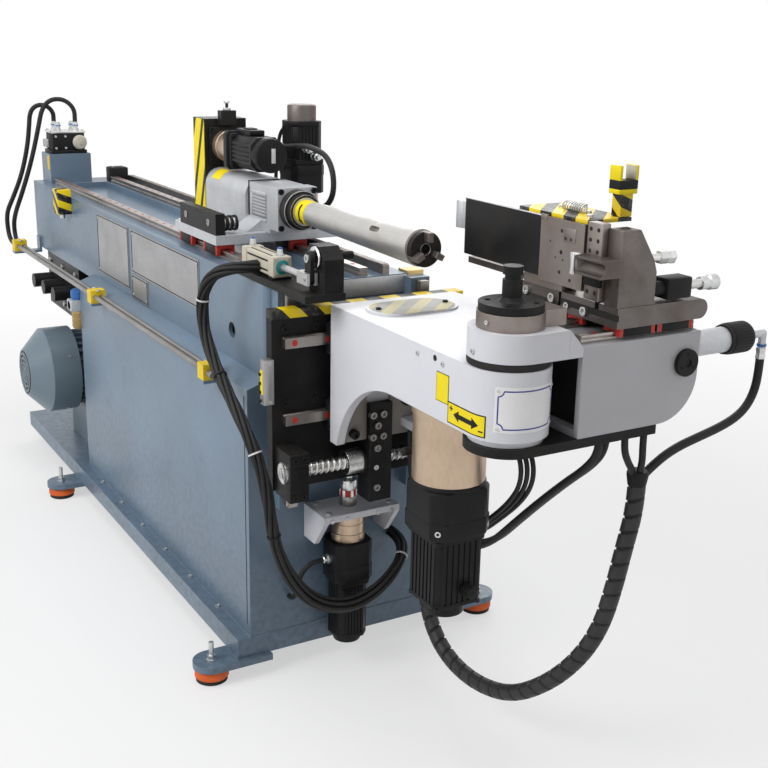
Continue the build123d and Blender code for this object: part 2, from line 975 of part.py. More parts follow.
# Tank with the pump bell, and the valve manifold that hangs under the beam
tank_top = skid_top + tank_height
with BuildPart() as hydraulic_tank:
    slab((tank_rear, tank_front), (tank_left, tank_right), (skid_top, tank_top))
    slab(
        (tank_rear + tank_wall, tank_front - tank_wall),
        (tank_left + tank_wall, tank_right - tank_wall),
        (skid_top + tank_wall, tank_top - tank_wall),
        Mode.SUBTRACT,
    )
    bar_y(motor_x, (motor_rear, tank_left), motor_z, bell_radius)
    manifold_middle = pedestal_top - manifold_height / 2
    slab(
        (manifold_rear, manifold_front),
        (manifold_left, manifold_right),
        (pedestal_top - manifold_height, pedestal_top),
    )
    slab(
        (manifold_rear + manifold_wall, manifold_front - manifold_wall),
        (manifold_left + manifold_wall, manifold_right - manifold_wall),
        (pedestal_top - manifold_height + manifold_wall, pedestal_top - manifold_wall),
        Mode.SUBTRACT,
    )
    solenoid_step = (manifold_front - manifold_rear) / solenoid_count
    for index in range(solenoid_count):
        x = manifold_rear + (index + 0.5) * solenoid_step
        bar_y(x, (manifold_left - solenoid_length, manifold_left), manifold_middle, solenoid_radius)
write(hydraulic_tank, "hydraulic_tank")

# Air filter and regulator on the rear of the pedestal
with BuildPart() as filter_regulator:
    regulator_x = -pedestal_length - bracket_thickness - regulator_size / 2
    regulator_bottom = regulator_top - regulator_body
    square_z(regulator_x, regulator_y, (regulator_bottom, regulator_top), regulator_size)
    bar_z(
        regulator_x,
        regulator_y,
        (regulator_bottom - regulator_bowl_length, regulator_bottom),
        regulator_bowl_radius,
    )
    slab(
        (-pedestal_length - bracket_thickness, -pedestal_length),
        (regulator_y - regulator_size / 2, -pedestal_width / 2 + shoulder_width),
        (regulator_top - regulator_size, regulator_top),
    )
write(filter_regulator, "filter_regulator")

# Shelf with the pillow block of the lever shaft
pillow_front = shelf_front - pillow_inset
pillow_right = shelf_left + shelf_width - pillow_inset
pillow_left = pillow_right - pillow_width
lever_z = shelf_top + lever_axis_height
with BuildPart() as shelf_plate:
    slab(
        (shelf_rear, shelf_front),
        (shelf_left, shelf_left + shelf_width),
        (shelf_bottom, shelf_top),
    )
    profile_along_y(
        (pillow_left, pillow_right),
        [
            (pillow_front - pillow_length, shelf_top),
            (pillow_front, shelf_top),
            (pillow_front, shelf_top + pillow_height - pillow_chamfer),
            (pillow_front - pillow_chamfer, shelf_top + pillow_height),
            (pillow_front - pillow_length, shelf_top + pillow_height),
        ],
    )
    bar_y(
        lever_axis_x,
        (pillow_left, pillow_right),
        lever_z,
        lever_shaft_radius + running_fit,
        Mode.SUBTRACT,
    )
write(shelf_plate, "shelf_plate")

# Air cylinder with its rod and clevis, which swings the lever
lever_right = pillow_left - lever_gap
lever_left = lever_right - lever_thickness
air_y = (lever_left + lever_right) / 2
air_z = lever_z - lever_length
with BuildPart() as air_cylinder:
    square_x((air_rear, air_front), air_y, air_z, air_body)
    for x in (air_rear + air_body / 2, air_front - air_body / 2):
        slab(
            (x - air_body / 4, x + air_body / 4),
            (air_y - air_body / 2, air_y + air_body / 2),
            (shelf_top, air_z - air_body / 2 + air_foot),
        )
    bar_x((air_front - air_rod_depth, air_front), air_y, air_z, air_rod_radius + running_fit, Mode.SUBTRACT)
write(air_cylinder, "air_cylinder")

clevis_front = lever_axis_x + clevis_height / 2
clevis_rear = clevis_front - clevis_length
with BuildPart() as air_rod:
    bar_x((air_front - air_rod_depth / 2, clevis_rear), air_y, air_z, air_rod_radius)
    slab(
        (clevis_rear, clevis_front),
        (air_y - clevis_width / 2, air_y + clevis_width / 2),
        (air_z - clevis_height / 2, air_z + clevis_height / 2),
    )
    slab(
        (lever_axis_x - lever_eye_radius - air_foot, clevis_front),
        (air_y - clevis_slot / 2, air_y + clevis_slot / 2),
        (air_z - clevis_height / 2, air_z + clevis_height / 2),
        Mode.SUBTRACT,
    )
    bar_y(lever_axis_x, (air_y - clevis_width / 2, air_y + clevis_width / 2), air_z, air_pin_radius)
write(air_rod, "air_rod")

with BuildPart() as support_lever:
    bar_y(lever_axis_x, (lever_left, lever_right), lever_z, lever_hub_radius)
    bar_y(lever_axis_x, (lever_left, lever_right), air_z, lever_eye_radius)
    slab(
        (lever_axis_x - lever_eye_radius, lever_axis_x + lever_eye_radius),
        (lever_left, lever_right),
        (air_z, lever_z),
    )
    bar_y(lever_axis_x, (lever_left, pillow_right + lever_stub), lever_z, lever_shaft_radius)
    bar_y(lever_axis_x, (lever_left, lever_right), air_z, air_pin_radius + air_pin_play, Mode.SUBTRACT)
write(support_lever, "support_lever")

# Lift drive
with BuildPart() as lift_bracket:
    bracket_right = lift_bracket_left + lift_bracket_width
    plate_bottom = lift_bracket_top - lift_bracket_plate
    web_bottom = plate_bottom - lift_bracket_drop
    slab((0, lift_bracket_depth), (lift_bracket_left, bracket_right), (plate_bottom, lift_bracket_top))
    for left in (lift_bracket_left, bracket_right - lift_bracket_web):
        profile_along_y(
            (left, left + lift_bracket_web),
            [
                (0, plate_bottom),
                (lift_bracket_depth, plate_bottom),
                (lift_bracket_toe, web_bottom),
                (0, web_bottom),
            ],
        )
write(lift_bracket, "lift_bracket")

gearbox_bottom = plate_bottom - lift_gearbox_height
with BuildPart() as lift_servo:
    bar_z(lift_x, lift_y, (gearbox_bottom, plate_bottom), lift_gearbox_radius)
    adaptor_bottom = gearbox_bottom - lift_adaptor_height
    square_z(lift_x, lift_y, (adaptor_bottom, gearbox_bottom), lift_adaptor_size)
    square_z(lift_x, lift_y, (adaptor_bottom - lift_motor_height, adaptor_bottom), lift_motor_size)
write(lift_servo, "lift_servo")

with BuildPart() as lift_screw:
    screw_bottom = lift_bracket_top + seat_gap
    bar_z(lift_x, lift_y, (screw_bottom, screw_bottom + coupling_height), coupling_radius)
    bar_z(lift_x, lift_y, (screw_bottom + coupling_height, lift_screw_top), lift_screw_radius)
write(lift_screw, "lift_screw")

# Slide plate with its top guard and the bearings of the shift screw
with BuildPart() as slide_plate:
    slab((slide_back, slide_front), (slide_left, slide_right), (slide_bottom, slide_top))
    slab(
        (slide_back, slide_front + guard_overhang),
        (slide_left, slide_right),
        (slide_top, slide_top + guard_height),
    )
    bearing_top = bearing_bottom + bearing_height
    for left, width in (
        (bearing_left, bearing_left_width),
        (bearing_right - bearing_right_width, bearing_right_width),
    ):
        slab((slide_front, slide_front + bearing_depth), (left, left + width), (bearing_bottom, bearing_top))
    bar_y(
        shift_screw_x,
        (bearing_left - bearing_cap_height, bearing_left),
        shift_screw_z,
        bearing_cap_radius,
    )
    bar_y(
        shift_screw_x,
        (bearing_left, bearing_right),
        shift_screw_z,
        shift_screw_radius + running_fit,
        Mode.SUBTRACT,
    )
write(slide_plate, "slide_plate")

# Runner blocks and nut of the lift
runner_channel = guide_width / 2 + slide_gap
with BuildPart() as lift_blocks:
    runner_back = slide_back - (runner_lip + guide_height) + 2
    for y in (lift_left_y, lift_right_y):
        for z in lift_runner_zs:
            slab(
                (runner_back, slide_back),
                (y - runner_width / 2, y + runner_width / 2),
                (z, z + runner_length),
            )
            slab(
                (runner_back, lift_pad_depth + guide_height + slide_gap),
                (y - runner_channel, y + runner_channel),
                (z, z + runner_length),
                Mode.SUBTRACT,
            )
    slab(
        (slide_back - lift_nut_depth, slide_back),
        (lift_y - lift_nut_width / 2, lift_y + lift_nut_width / 2),
        (lift_nut_bottom, lift_nut_bottom + lift_nut_height),
    )
    bar_z(
        lift_x,
        lift_y,
        (lift_nut_bottom, lift_nut_bottom + lift_nut_height),
        lift_screw_radius + running_fit,
        Mode.SUBTRACT,
    )
write(lift_blocks, "lift_blocks")

# Shift rails on the slide plate, and the switch strip on its edge
with BuildPart() as shift_rails:
    for z in shift_rail_zs:
        plane = Plane(origin=(slide_front, shift_rail_left, z), x_dir=(0, 0, 1), z_dir=(0, 1, 0))
        guide_rail(plane, shift_rail_right - shift_rail_left, guide_width, guide_height)
    slab(
        (slide_front - strip_lap, slide_front - strip_lap + strip_depth),
        (slide_left - strip_width, slide_left),
        (strip_bottom, strip_top),
    )
write(shift_rails, "shift_rails")

with BuildPart() as shift_screw:
    bar_y(shift_screw_x, (bearing_left + seat_gap, bearing_right), shift_screw_z, shift_screw_radius)
write(shift_screw, "shift_screw")

# Bend head: side walls with an arch, closed box under the gearbox seat, round nose
nose_radius = spindle_y - head_left
with BuildPart() as head_housing:
    with BuildSketch(Plane.XY.offset(head_leg_bottom)):
        with BuildLine():
            Polyline(
                (head_back, head_left),
                (spindle_x, head_left),
                (spindle_x, spindle_y + nose_radius),
                (head_step_x, spindle_y + nose_radius),
                (head_step_x, head_right),
                (head_back, head_right),
                close=True,
            )
        make_face()
        with Locations((spindle_x, spindle_y)):
            Circle(nose_radius)
    extrude(amount=head_top - head_leg_bottom)
    with BuildSketch(Plane.XZ.offset(-head_right)):
        with BuildLine():
            Polyline(
                (head_leg_x, head_leg_bottom),
                (spindle_x + nose_radius, head_leg_bottom),
                (spindle_x + nose_radius, head_bottom),
                (head_arch_x, head_bottom),
            )
            TangentArc((head_arch_x, head_bottom), (head_leg_x, head_leg_bottom), tangent=(-1, 0))
        make_face()
    extrude(amount=head_right - head_left, mode=Mode.SUBTRACT)
    slab(
        (head_back + head_wall, head_box_back - head_wall),
        (head_left + head_wall, head_right - head_wall),
        (head_leg_bottom, head_top - head_roof),
        Mode.SUBTRACT,
    )
    slab(
        (head_back, head_back + head_wall),
        (head_left + head_wall, head_right - head_wall),
        (head_leg_bottom, head_rear_wall_bottom),
        Mode.SUBTRACT,
    )
    slab(
        (head_box_back, spindle_x - nose_radius),
        (head_left + head_wall, spindle_y + nose_radius - head_wall),
        (head_bottom + head_wall, head_top - head_roof),
        Mode.SUBTRACT,
    )
    slab(
        (wing_back, head_step_x),
        (head_right, wing_right),
        (head_top - wing_thickness, head_top),
    )
    with BuildSketch(Plane.XY.offset(head_top)):
        with Locations((cover_x, cover_y)):
            SlotOverall(cover_length, cover_width, rotation=90)
    extrude(amount=cover_thickness)
    bar_z(spindle_x, spindle_y, (head_top, lug_bottom - seat_gap), ring_radius)
    bar_z(spindle_x, spindle_y, (arm_bottom + seat_gap, head_bottom), ring_radius)
    bar_z(
        spindle_x,
        spindle_y,
        (arm_bottom, lug_bottom),
        spindle_radius + running_fit,
        Mode.SUBTRACT,
    )
    slab(
        (head_back + head_wall, head_back + head_wall + cable_shoe[0]),
        (cable_shoe_y - cable_shoe[1] / 2, cable_shoe_y + cable_shoe[1] / 2),
        (cable_shoe_bottom, cable_shoe_bottom + cable_shoe[2]),
    )
write(head_housing, "head_housing")

# Guides on the head: runners on the shift rails behind, rails of the pressure die on top
with BuildPart() as head_guides:
    for z in shift_rail_zs:
        for y in shift_runner_ys:
            slab(
                (shift_rail_front - runner_lip, head_back),
                (y, y + runner_length),
                (z - shift_runner_height / 2, z + shift_runner_height / 2),
            )
            slab(
                (shift_rail_front - runner_lip, shift_rail_front + slide_gap),
                (y, y + runner_length),
                (z - runner_channel, z + runner_channel),
                Mode.SUBTRACT,
            )
    for x in pressure_rail_xs:
        plane = Plane(origin=(x, pressure_rail_near, head_top), x_dir=(-1, 0, 0), z_dir=(0, 1, 0))
        guide_rail(plane, pressure_rail_far - pressure_rail_near, guide_width, guide_height)
write(head_guides, "head_guides")

# Drive bar with the ball nut
with BuildPart() as drive_bar:
    bar_right = drive_bar_left + drive_bar_width
    profile_along_y(
        (drive_bar_left, bar_right),
        [
            (drive_bar_back, drive_bar_bottom),
            (drive_bar_front, drive_bar_bottom),
            (drive_bar_front, drive_bar_top),
            (head_back + head_wall, drive_bar_top),
            (head_back + head_wall, head_leg_bottom),
            (drive_bar_back, head_leg_bottom),
        ],
    )
    bar_y(shift_screw_x, (drive_bar_left - nut_length, drive_bar_left), shift_screw_z, nut_radius)
    bar_y(
        shift_screw_x,
        (drive_bar_left - nut_flange_thickness, drive_bar_left),
        shift_screw_z,
        nut_flange_radius,
    )
    bar_y(
        shift_screw_x,
        (drive_bar_left - nut_length, bar_right),
        shift_screw_z,
        shift_screw_radius + running_fit,
        Mode.SUBTRACT,
    )
write(drive_bar, "drive_bar")

# Bend drive under the head
adaptor_top = head_bottom - gearbox_length
bend_motor_top = adaptor_top - adaptor_length
with BuildPart() as bend_gearbox:
    bar_z(bend_x, spindle_y, (adaptor_top, head_bottom), gearbox_radius)
write(bend_gearbox, "bend_gearbox")

with BuildPart() as bend_motor:
    square_z(bend_x, spindle_y, (bend_motor_top, adaptor_top), adaptor_size)
    chamfer(bend_motor.edges().filter_by(Axis.Z), adaptor_size / 6)
    square_z(bend_x, spindle_y, (bend_motor_top - bend_motor_length, bend_motor_top), bend_motor_size)
    bend_cap_top = bend_motor_top - bend_motor_length
    bar_z(bend_x, spindle_y, (bend_cap_top - bend_cap_length, bend_cap_top), bend_cap_radius)
write(bend_motor, "bend_motor")

# Bend arm: lug over the spindle, box, and the rails of the clamp slide
with BuildPart() as arm_frame:
    slab((arm_back, arm_front), (arm_near, arm_far), (arm_bottom, arm_top))
    far_bottom = arm_frame.edges().filter_by(Axis.X).group_by(Axis.Z)[0].sort_by(Axis.Y)[-1]
    fillet(far_bottom, arm_corner_radius)
    slab(
        (arm_back + arm_wall, arm_front - arm_wall),
        (arm_near + arm_wall, arm_far - arm_corner_radius),
        (arm_bottom + arm_wall, arm_top - arm_wall),
        Mode.SUBTRACT,
    )
    profile_along_x(
        (arm_back, arm_front),
        [
            (spindle_y, lug_bottom),
            (arm_near, lug_bottom),
            (arm_near, arm_top),
            (arm_near - lug_slope, lug_top),
            (spindle_y, lug_top),
        ],
    )
    with BuildSketch(Plane.XY.offset(lug_bottom)):
        with Locations((spindle_x, spindle_y)):
            Circle(arm_half_width)
    extrude(amount=lug_height)
    bar_z(spindle_x, spindle_y, (lug_bottom, lug_top), spindle_radius + running_fit, Mode.SUBTRACT)
    for offset_x in arm_guide_offsets:
        plane = Plane(
            origin=(spindle_x + offset_x, arm_guide_start, arm_top), x_dir=(-1, 0, 0), z_dir=(0, 1, 0)
        )
        guide_rail(plane, arm_guide_end - arm_guide_start, arm_guide_width, arm_guide_height)
write(arm_frame, "arm_frame")

with BuildPart() as arm_plates:
    with BuildSketch(Plane.XY.offset(lower_plate_bottom)):
        with Locations((spindle_x, (spindle_y + lower_plate_end) / 2)):
            Rectangle(2 * arm_half_width, lower_plate_end - spindle_y)
        with Locations((spindle_x, spindle_y)):
            Circle(arm_half_width)
            Circle(spindle_radius + running_fit, mode=Mode.SUBTRACT)
    extrude(amount=lower_plate_thickness)
    trunnion_z = arm_top - trunnion_drop
    bar_x((arm_front, arm_front + trunnion_thickness), trunnion_y, trunnion_z, trunnion_radius)
    bar_x((arm_back - trunnion_thickness, arm_back), trunnion_y, trunnion_z, trunnion_radius)
write(arm_plates, "arm_plates")

# Spindle shaft, and the post that carries the bend die
with BuildPart() as bend_post:
    bar_z(spindle_x, spindle_y, (lower_plate_bottom, lug_top), spindle_radius)
    bar_z(spindle_x, spindle_y, (lug_top, seat_top), seat_neck_radius)
    bar_z(spindle_x, spindle_y, (seat_top, disc_top), disc_radius)
    bar_z(spindle_x, spindle_y, (disc_top, disc_top + post_neck_bottom), post_radius)
    neck_top = disc_top + post_neck_bottom + post_neck_height
    bar_z(spindle_x, spindle_y, (disc_top + post_neck_bottom, neck_top), post_neck_radius)
    bar_z(spindle_x, spindle_y, (neck_top, disc_top + post_height), post_radius)
write(bend_post, "bend_post")

with BuildPart() as die_seat:
    with BuildSketch(Plane.XY.offset(lug_top)):
        with Locations((spindle_x, (spindle_y + seat_lug_end) / 2)):
            Rectangle(seat_lug_width, seat_lug_end - spindle_y)
        with Locations((spindle_x, spindle_y)):
            Circle(seat_radius)
            Circle(seat_neck_radius + running_fit, mode=Mode.SUBTRACT)
    extrude(amount=seat_height)
write(die_seat, "die_seat")

# Clamp cylinder at the end of the arm, with the elbow of its hose
tube_end = arm_far + clamp_tube_length
cap_end = tube_end + clamp_cap_length
elbow_y = cap_end + elbow_reach
clamp_cylinder_z = arm_top - clamp_cylinder_drop
ferrule_top = clamp_cylinder_z - elbow_drop
with BuildPart() as clamp_cylinder:
    bar_y(clamp_cylinder_x, (arm_far, tube_end), clamp_cylinder_z, clamp_tube_radius)
    bar_y(clamp_cylinder_x, (tube_end, cap_end), clamp_cylinder_z, clamp_cap_radius)
    bar_y(clamp_cylinder_x, (cap_end, elbow_y), clamp_cylinder_z, elbow_radius)
    with Locations((clamp_cylinder_x, elbow_y, clamp_cylinder_z)):
        Sphere(elbow_radius)
    bar_z(clamp_cylinder_x, elbow_y, (ferrule_top, clamp_cylinder_z), elbow_radius)
    bar_z(clamp_cylinder_x, elbow_y, (ferrule_top - ferrule_length, ferrule_top), ferrule_radius)
write(clamp_cylinder, "clamp_cylinder")

# Clamp bolster with its runners
with BuildPart() as clamp_bolster:
    slab(
        (clamp_bolster_left, clamp_bolster_right),
        (clamp_bolster_near, clamp_bolster_far),
        (clamp_bolster_bottom, clamp_bolster_top),
    )
    bar_x(
        (clamp_bolster_left, clamp_bolster_right),
        clamp_bolster_far,
        (clamp_bolster_bottom + clamp_bolster_top) / 2,
        clamp_bolster_height / 2,
    )
    slab(
        (clamp_slot_x - slot_neck / 2, clamp_slot_x + slot_neck / 2),
        (clamp_bolster_near, clamp_bolster_far),
        (clamp_bolster_top - slot_neck_depth, clamp_bolster_top),
        Mode.SUBTRACT,
    )
    slab(
        (clamp_slot_x - slot_head / 2, clamp_slot_x + slot_head / 2),
        (clamp_bolster_near, clamp_bolster_far),
        (clamp_bolster_top - slot_neck_depth - slot_head_height, clamp_bolster_top - slot_neck_depth),
        Mode.SUBTRACT,
    )
    arm_channel = arm_guide_width / 2 + slide_gap
    for offset_x in arm_guide_offsets:
        x = spindle_x + offset_x
        for near, far in arm_runner_spans:
            slab(
                (x - arm_runner_width / 2, x + arm_runner_width / 2),
                (near, far),
                (arm_runner_bottom, clamp_bolster_bottom),
            )
            slab(
                (x - arm_channel, x + arm_channel),
                (near, far),
                (arm_runner_bottom, arm_top + arm_guide_height + slide_gap),
                Mode.SUBTRACT,
            )
write(clamp_bolster, "clamp_bolster")

# Clamp tower with its guide bar, rod and position sensor
tower_front = clamp_bolster_right
tower_waist_z = clamp_bolster_top + tower_waist_height
tower_top = clamp_bolster_top + tower_height
tower_rod_z = clamp_bolster_top + tower_rod_rise
sensor_z = clamp_bolster_top + sensor_rise
guide_bar_bottom = clamp_bolster_top + guide_bar_rise
with BuildPart() as clamp_tower:
    profile_along_x(
        (tower_back, tower_front),
        [
            (tower_near, clamp_bolster_top),
            (tower_waist_y, clamp_bolster_top),
            (tower_waist_y, tower_waist_z),
            (tower_shoulder_y, tower_top),
            (tower_near, tower_top),
        ],
    )
    slab(
        (guide_bar_back, tower_back),
        (guide_bar_near, guide_bar_near + guide_bar_thickness),
        (guide_bar_bottom, guide_bar_bottom + guide_bar_height),
    )
    bar_y(tower_x, (tower_shoulder_y, tower_rod_end), tower_rod_z, tower_rod_radius)
    sensor_near = tower_waist_y + sensor_box[1] / 2
    sensor_far = sensor_near + sensor_box[1]
    bar_y(tower_x, (tower_waist_y, sensor_near), sensor_z, sensor_radius)
    slab(
        (tower_x - sensor_box[0] / 2, tower_x + sensor_box[0] / 2),
        (sensor_near, sensor_far),
        (sensor_z - sensor_box[2] / 2, sensor_z + sensor_box[2] / 2),
    )
    bar_y(tower_x, (sensor_far, sensor_end), sensor_z, sensor_nose_radius)
write(clamp_tower, "clamp_tower")

with BuildPart() as clamp_die:
    die_bottom = clamp_bolster_top + die_rise
    die_top = die_bottom + die_height
    slab((guide_bar_back, tower_front), (die_near, guide_bar_near), (die_bottom, die_top))
    slab((tower_back, tower_front), (guide_bar_near, tower_near), (die_bottom, die_top))
    bar_x((guide_bar_back, tower_front), die_near, die_bottom + die_height / 2, tube_radius, Mode.SUBTRACT)
write(clamp_die, "clamp_die")

# Pressure bolster with its runners and the rail of the booster
with BuildPart() as pressure_bolster:
    slab((pressure_left, pressure_right), (pressure_near, pressure_far), (pressure_bottom, pressure_top))
    for x in pressure_rail_xs:
        for near, far in pressure_runner_spans:
            slab(
                (x - runner_width / 2, x + runner_width / 2),
                (near, far),
                (pressure_runner_bottom, pressure_bottom),
            )
            slab(
                (x - runner_channel, x + runner_channel),
                (near, far),
                (pressure_runner_bottom, head_top + guide_height + slide_gap),
                Mode.SUBTRACT,
            )
    slab(
        (booster_rail_left, pressure_right),
        (booster_rail_near, booster_rail_near + booster_rail_width),
        (pressure_top, pressure_top + booster_rail_height),
    )
write(pressure_bolster, "pressure_bolster")

# Booster: the plate that carries the pressure die, on its runner
with BuildPart() as pressure_plate:
    plate_back = booster_near + booster_thickness
    slab((booster_left, booster_right), (booster_near, plate_back), (booster_bottom, booster_top))
    runner_bottom = pressure_top + seat_gap
    channel_near = booster_rail_near - slide_gap
    channel_far = booster_rail_near + booster_rail_width + slide_gap
    slab(
        (booster_runner_left, booster_runner_left + booster_runner_length),
        (plate_back, channel_far + booster_runner_wall),
        (runner_bottom, runner_bottom + booster_runner_height),
    )
    slab(
        (booster_runner_left, booster_runner_left + booster_runner_length),
        (channel_near, channel_far),
        (runner_bottom, pressure_top + booster_rail_height + slide_gap),
        Mode.SUBTRACT,
    )
write(pressure_plate, "pressure_plate")

# Long cover plate, end bracket, top strip and the fork post
with BuildPart() as slide_cover:
    slab(
        (cover_plate_left, booster_left),
        (booster_near, booster_near + cover_plate_thickness),
        (booster_bottom + cover_plate_rise, booster_top),
    )
    slab(
        (cover_plate_left - end_bracket_length, cover_plate_left),
        (booster_near + cover_plate_thickness / 2, booster_near + cover_plate_thickness / 2 + end_bracket_width),
        (booster_top - end_bracket_drop - end_bracket_height, booster_top - end_bracket_drop),
    )
    strip_top_z = booster_top + top_strip_thickness
    slab((top_strip_left, booster_right), (top_strip_near, top_strip_far), (booster_top, strip_top_z))
    post_top = strip_top_z + fork_post_height
    square_z(fork_x, fork_y, (strip_top_z, post_top), fork_post)
    slab(
        (fork_x - fork_head[0] / 2, fork_x + fork_head[0] / 2),
        (fork_y - fork_head[1] / 2, fork_y + fork_head[1] / 2),
        (post_top, post_top + fork_head[2] + fork_prong_height),
    )
    slab(
        (fork_x - fork_head[0] / 2, fork_x + fork_head[0] / 2),
        (fork_y - fork_head[1] / 2 + fork_prong_width, fork_y + fork_head[1] / 2 - fork_prong_width),
        (post_top + fork_head[2], post_top + fork_head[2] + fork_prong_height),
        Mode.SUBTRACT,
    )
write(slide_cover, "slide_cover")

# Carriage deck and its runners on the feed rails
servo_y = rack_left + rack_width + pinion_mesh_gap + pinion_radius
with BuildPart() as carriage_plate:
    slab((deck_rear, deck_front), (deck_left, deck_right), (deck_bottom, deck_top))
    bar_z(
        feed_servo_x,
        servo_y,
        (deck_bottom, deck_top),
        pinion_shaft_radius + running_fit,
        Mode.SUBTRACT,
    )
write(carriage_plate, "carriage_plate")

with BuildPart() as carriage_blocks:
    runner_z = beam_top + guide_height - runner_lip
    for y in (feed_left_y, feed_right_y):
        for rear in (deck_rear, deck_front - runner_length - guide_width):
            slab(
                (rear, rear + runner_length),
                (y - runner_width / 2, y + runner_width / 2),
                (runner_z, deck_bottom),
            )
            slab(
                (rear, rear + runner_length),
                (y - runner_channel, y + runner_channel),
                (runner_z, beam_top + guide_height + slide_gap),
                Mode.SUBTRACT,
            )
write(carriage_blocks, "carriage_blocks")

# Rotary housing with its front flange, and the stepped ring in front of it
with BuildPart() as rotary_housing:
    slab(
        (drum_rear, drum_front),
        (tube_y - drum_half_width, tube_y + drum_half_width),
        (deck_top, drum_top),
    )
    drum_edges = rotary_housing.edges().filter_by(Axis.X).group_by(Axis.Z)[-1]
    fillet(drum_edges, drum_corner)
    slab(
        (drum_front, nose_front),
        (tube_y - nose_half_width, tube_y + nose_half_width),
        (deck_top, nose_top),
    )
    for side in (-1, 1):
        edge = tube_y + side * nose_half_width
        profile_along_x(
            (drum_front, foot_flare_front),
            [
                (edge, deck_top),
                (edge + side * foot_flare, deck_top),
                (edge, deck_top + foot_flare_height),
            ],
        )
    slab(
        (nose_front, flange_front),
        (tube_y - flange_half_width, tube_y + flange_half_width),
        (tube_z - flange_half_width, tube_z + flange_half_width),
    )
    ring_step = flange_front + ring_large_length
    bar_x((flange_front, ring_step), tube_y, tube_z, ring_large_radius)
    bar_x((ring_step, ring_step + ring_small_length), tube_y, tube_z, ring_small_radius)
    bar_x(
        (drum_rear, ring_step + ring_small_length),
        tube_y,
        tube_z,
        spindle_tube_radius + running_fit,
        Mode.SUBTRACT,
    )
write(rotary_housing, "rotary_housing")

# Belt guard with the tensioner on top; pulleys and belt inside
with BuildPart() as belt_guard:
    slab(
        (guard_rear, drum_rear),
        (tube_y - guard_half_width, tube_y + guard_half_width),
        (guard_bottom, guard_top),
    )
    slab(
        (guard_rear + guard_wall, drum_rear - guard_wall),
        (tube_y - guard_half_width + guard_wall, tube_y + guard_half_width - guard_wall),
        (guard_bottom + guard_wall, guard_top - guard_wall),
        Mode.SUBTRACT,
    )
    slab(
        (drum_rear, drum_rear + tensioner[0]),
        (tube_y - tensioner[1] / 2, tube_y + tensioner[1] / 2),
        (tensioner_bottom, tensioner_bottom + tensioner[2]),
    )
    tensioner_top = tensioner_bottom + tensioner[2]
    bar_z(
        drum_rear + tensioner[0] / 2,
        tube_y,
        (tensioner_top, tensioner_top + tensioner_screw_length),
        tensioner_screw_radius,
    )
    front_wall = (drum_rear - guard_wall, drum_rear)
    bar_x(front_wall, tube_y, tube_z, spindle_tube_radius + running_fit, Mode.SUBTRACT)
    bar_x(front_wall, tube_y, servo_z, pulley_shaft_radius + running_fit, Mode.SUBTRACT)
write(belt_guard, "belt_guard")

pulley_span = (pulley_x - pulley_width / 2, pulley_x + pulley_width / 2)
with BuildPart() as drive_pulley:
    bar_x(pulley_span, tube_y, servo_z, pulley_radius)
    bar_x((pulley_span[1], drum_rear - seat_gap), tube_y, servo_z, pulley_shaft_radius)
write(drive_pulley, "drive_pulley")

with BuildPart() as timing_belt:
    belt_inner = pulley_radius + seat_gap
    belt_plane = Plane.YZ.offset(pulley_span[0])
    with BuildSketch(belt_plane):
        for radius, mode in ((belt_inner + belt_thickness, Mode.ADD), (belt_inner, Mode.SUBTRACT)):
            with Locations((tube_y, (tube_z + servo_z) / 2)):
                SlotCenterToCenter(servo_z - tube_z, 2 * radius, rotation=90, mode=mode)
    extrude(amount=pulley_width)
write(timing_belt, "timing_belt")

# Rotary servo along the tube, above the housing
gear_front = drum_rear + rotary_gear_length
with BuildPart() as rotary_servo:
    bar_x((drum_rear, gear_front), tube_y, servo_z, rotary_gear_radius)
    slab(
        (drum_rear, drum_rear + tensioner[0]),
        (tube_y - tensioner[1] / 2, tube_y + tensioner[1] / 2),
        (servo_z, tensioner_bottom),
    )
    body_rear = gear_front + rotary_flange_length
    body_front = body_rear + rotary_body_length
    square_x((gear_front, body_rear), tube_y, servo_z, rotary_flange_size)
    square_x((body_rear, body_front), tube_y, servo_z, rotary_body_size)
    bar_x((body_front, body_front + rotary_cap_length), tube_y, servo_z, rotary_cap_radius)
write(rotary_servo, "rotary_servo")

# Feed servo, upright on the deck, with the pinion that runs on the rack
with BuildPart() as feed_servo:
    gear_top = deck_top + feed_servo_gear_height
    servo_adaptor_top = gear_top + feed_servo_adaptor_height
    body_top = servo_adaptor_top + feed_servo_body_height
    bar_z(feed_servo_x, servo_y, (deck_top, gear_top), feed_servo_gear_radius)
    square_z(feed_servo_x, servo_y, (gear_top, servo_adaptor_top), feed_servo_adaptor_size)
    square_z(feed_servo_x, servo_y, (servo_adaptor_top, body_top), feed_servo_body_size)
    bar_z(feed_servo_x, servo_y, (body_top, body_top + feed_servo_cap_height), feed_servo_cap_radius)
write(feed_servo, "feed_servo")

with BuildPart() as feed_pinion:
    pinion_bottom = beam_top + (rack_height - pinion_height) / 2
    bar_z(feed_servo_x, servo_y, (pinion_bottom, pinion_bottom + pinion_height), pinion_radius)
    bar_z(feed_servo_x, servo_y, (pinion_bottom + pinion_height, deck_top - seat_gap), pinion_shaft_radius)
write(feed_pinion, "feed_pinion")

# Bracket on the deck's left edge, with the ringed stub
with BuildPart() as side_bracket:
    bracket_inner = deck_left + side_bracket_thickness
    slab(
        (side_bracket_rear, deck_front),
        (deck_left, bracket_inner),
        (deck_top, deck_top + side_bracket_height),
    )
    stub_z = deck_top + side_bracket_height / 2
    bar_y(stub_x, (bracket_inner, bracket_inner + stub_length), stub_z, stub_radius)
    for index in range(stub_ring_count):
        ring_near = bracket_inner + (index + 0.5) * stub_length / stub_ring_count
        bar_y(stub_x, (ring_near, ring_near + stub_ring_width), stub_z, stub_ring_radius)
write(side_bracket, "side_bracket")

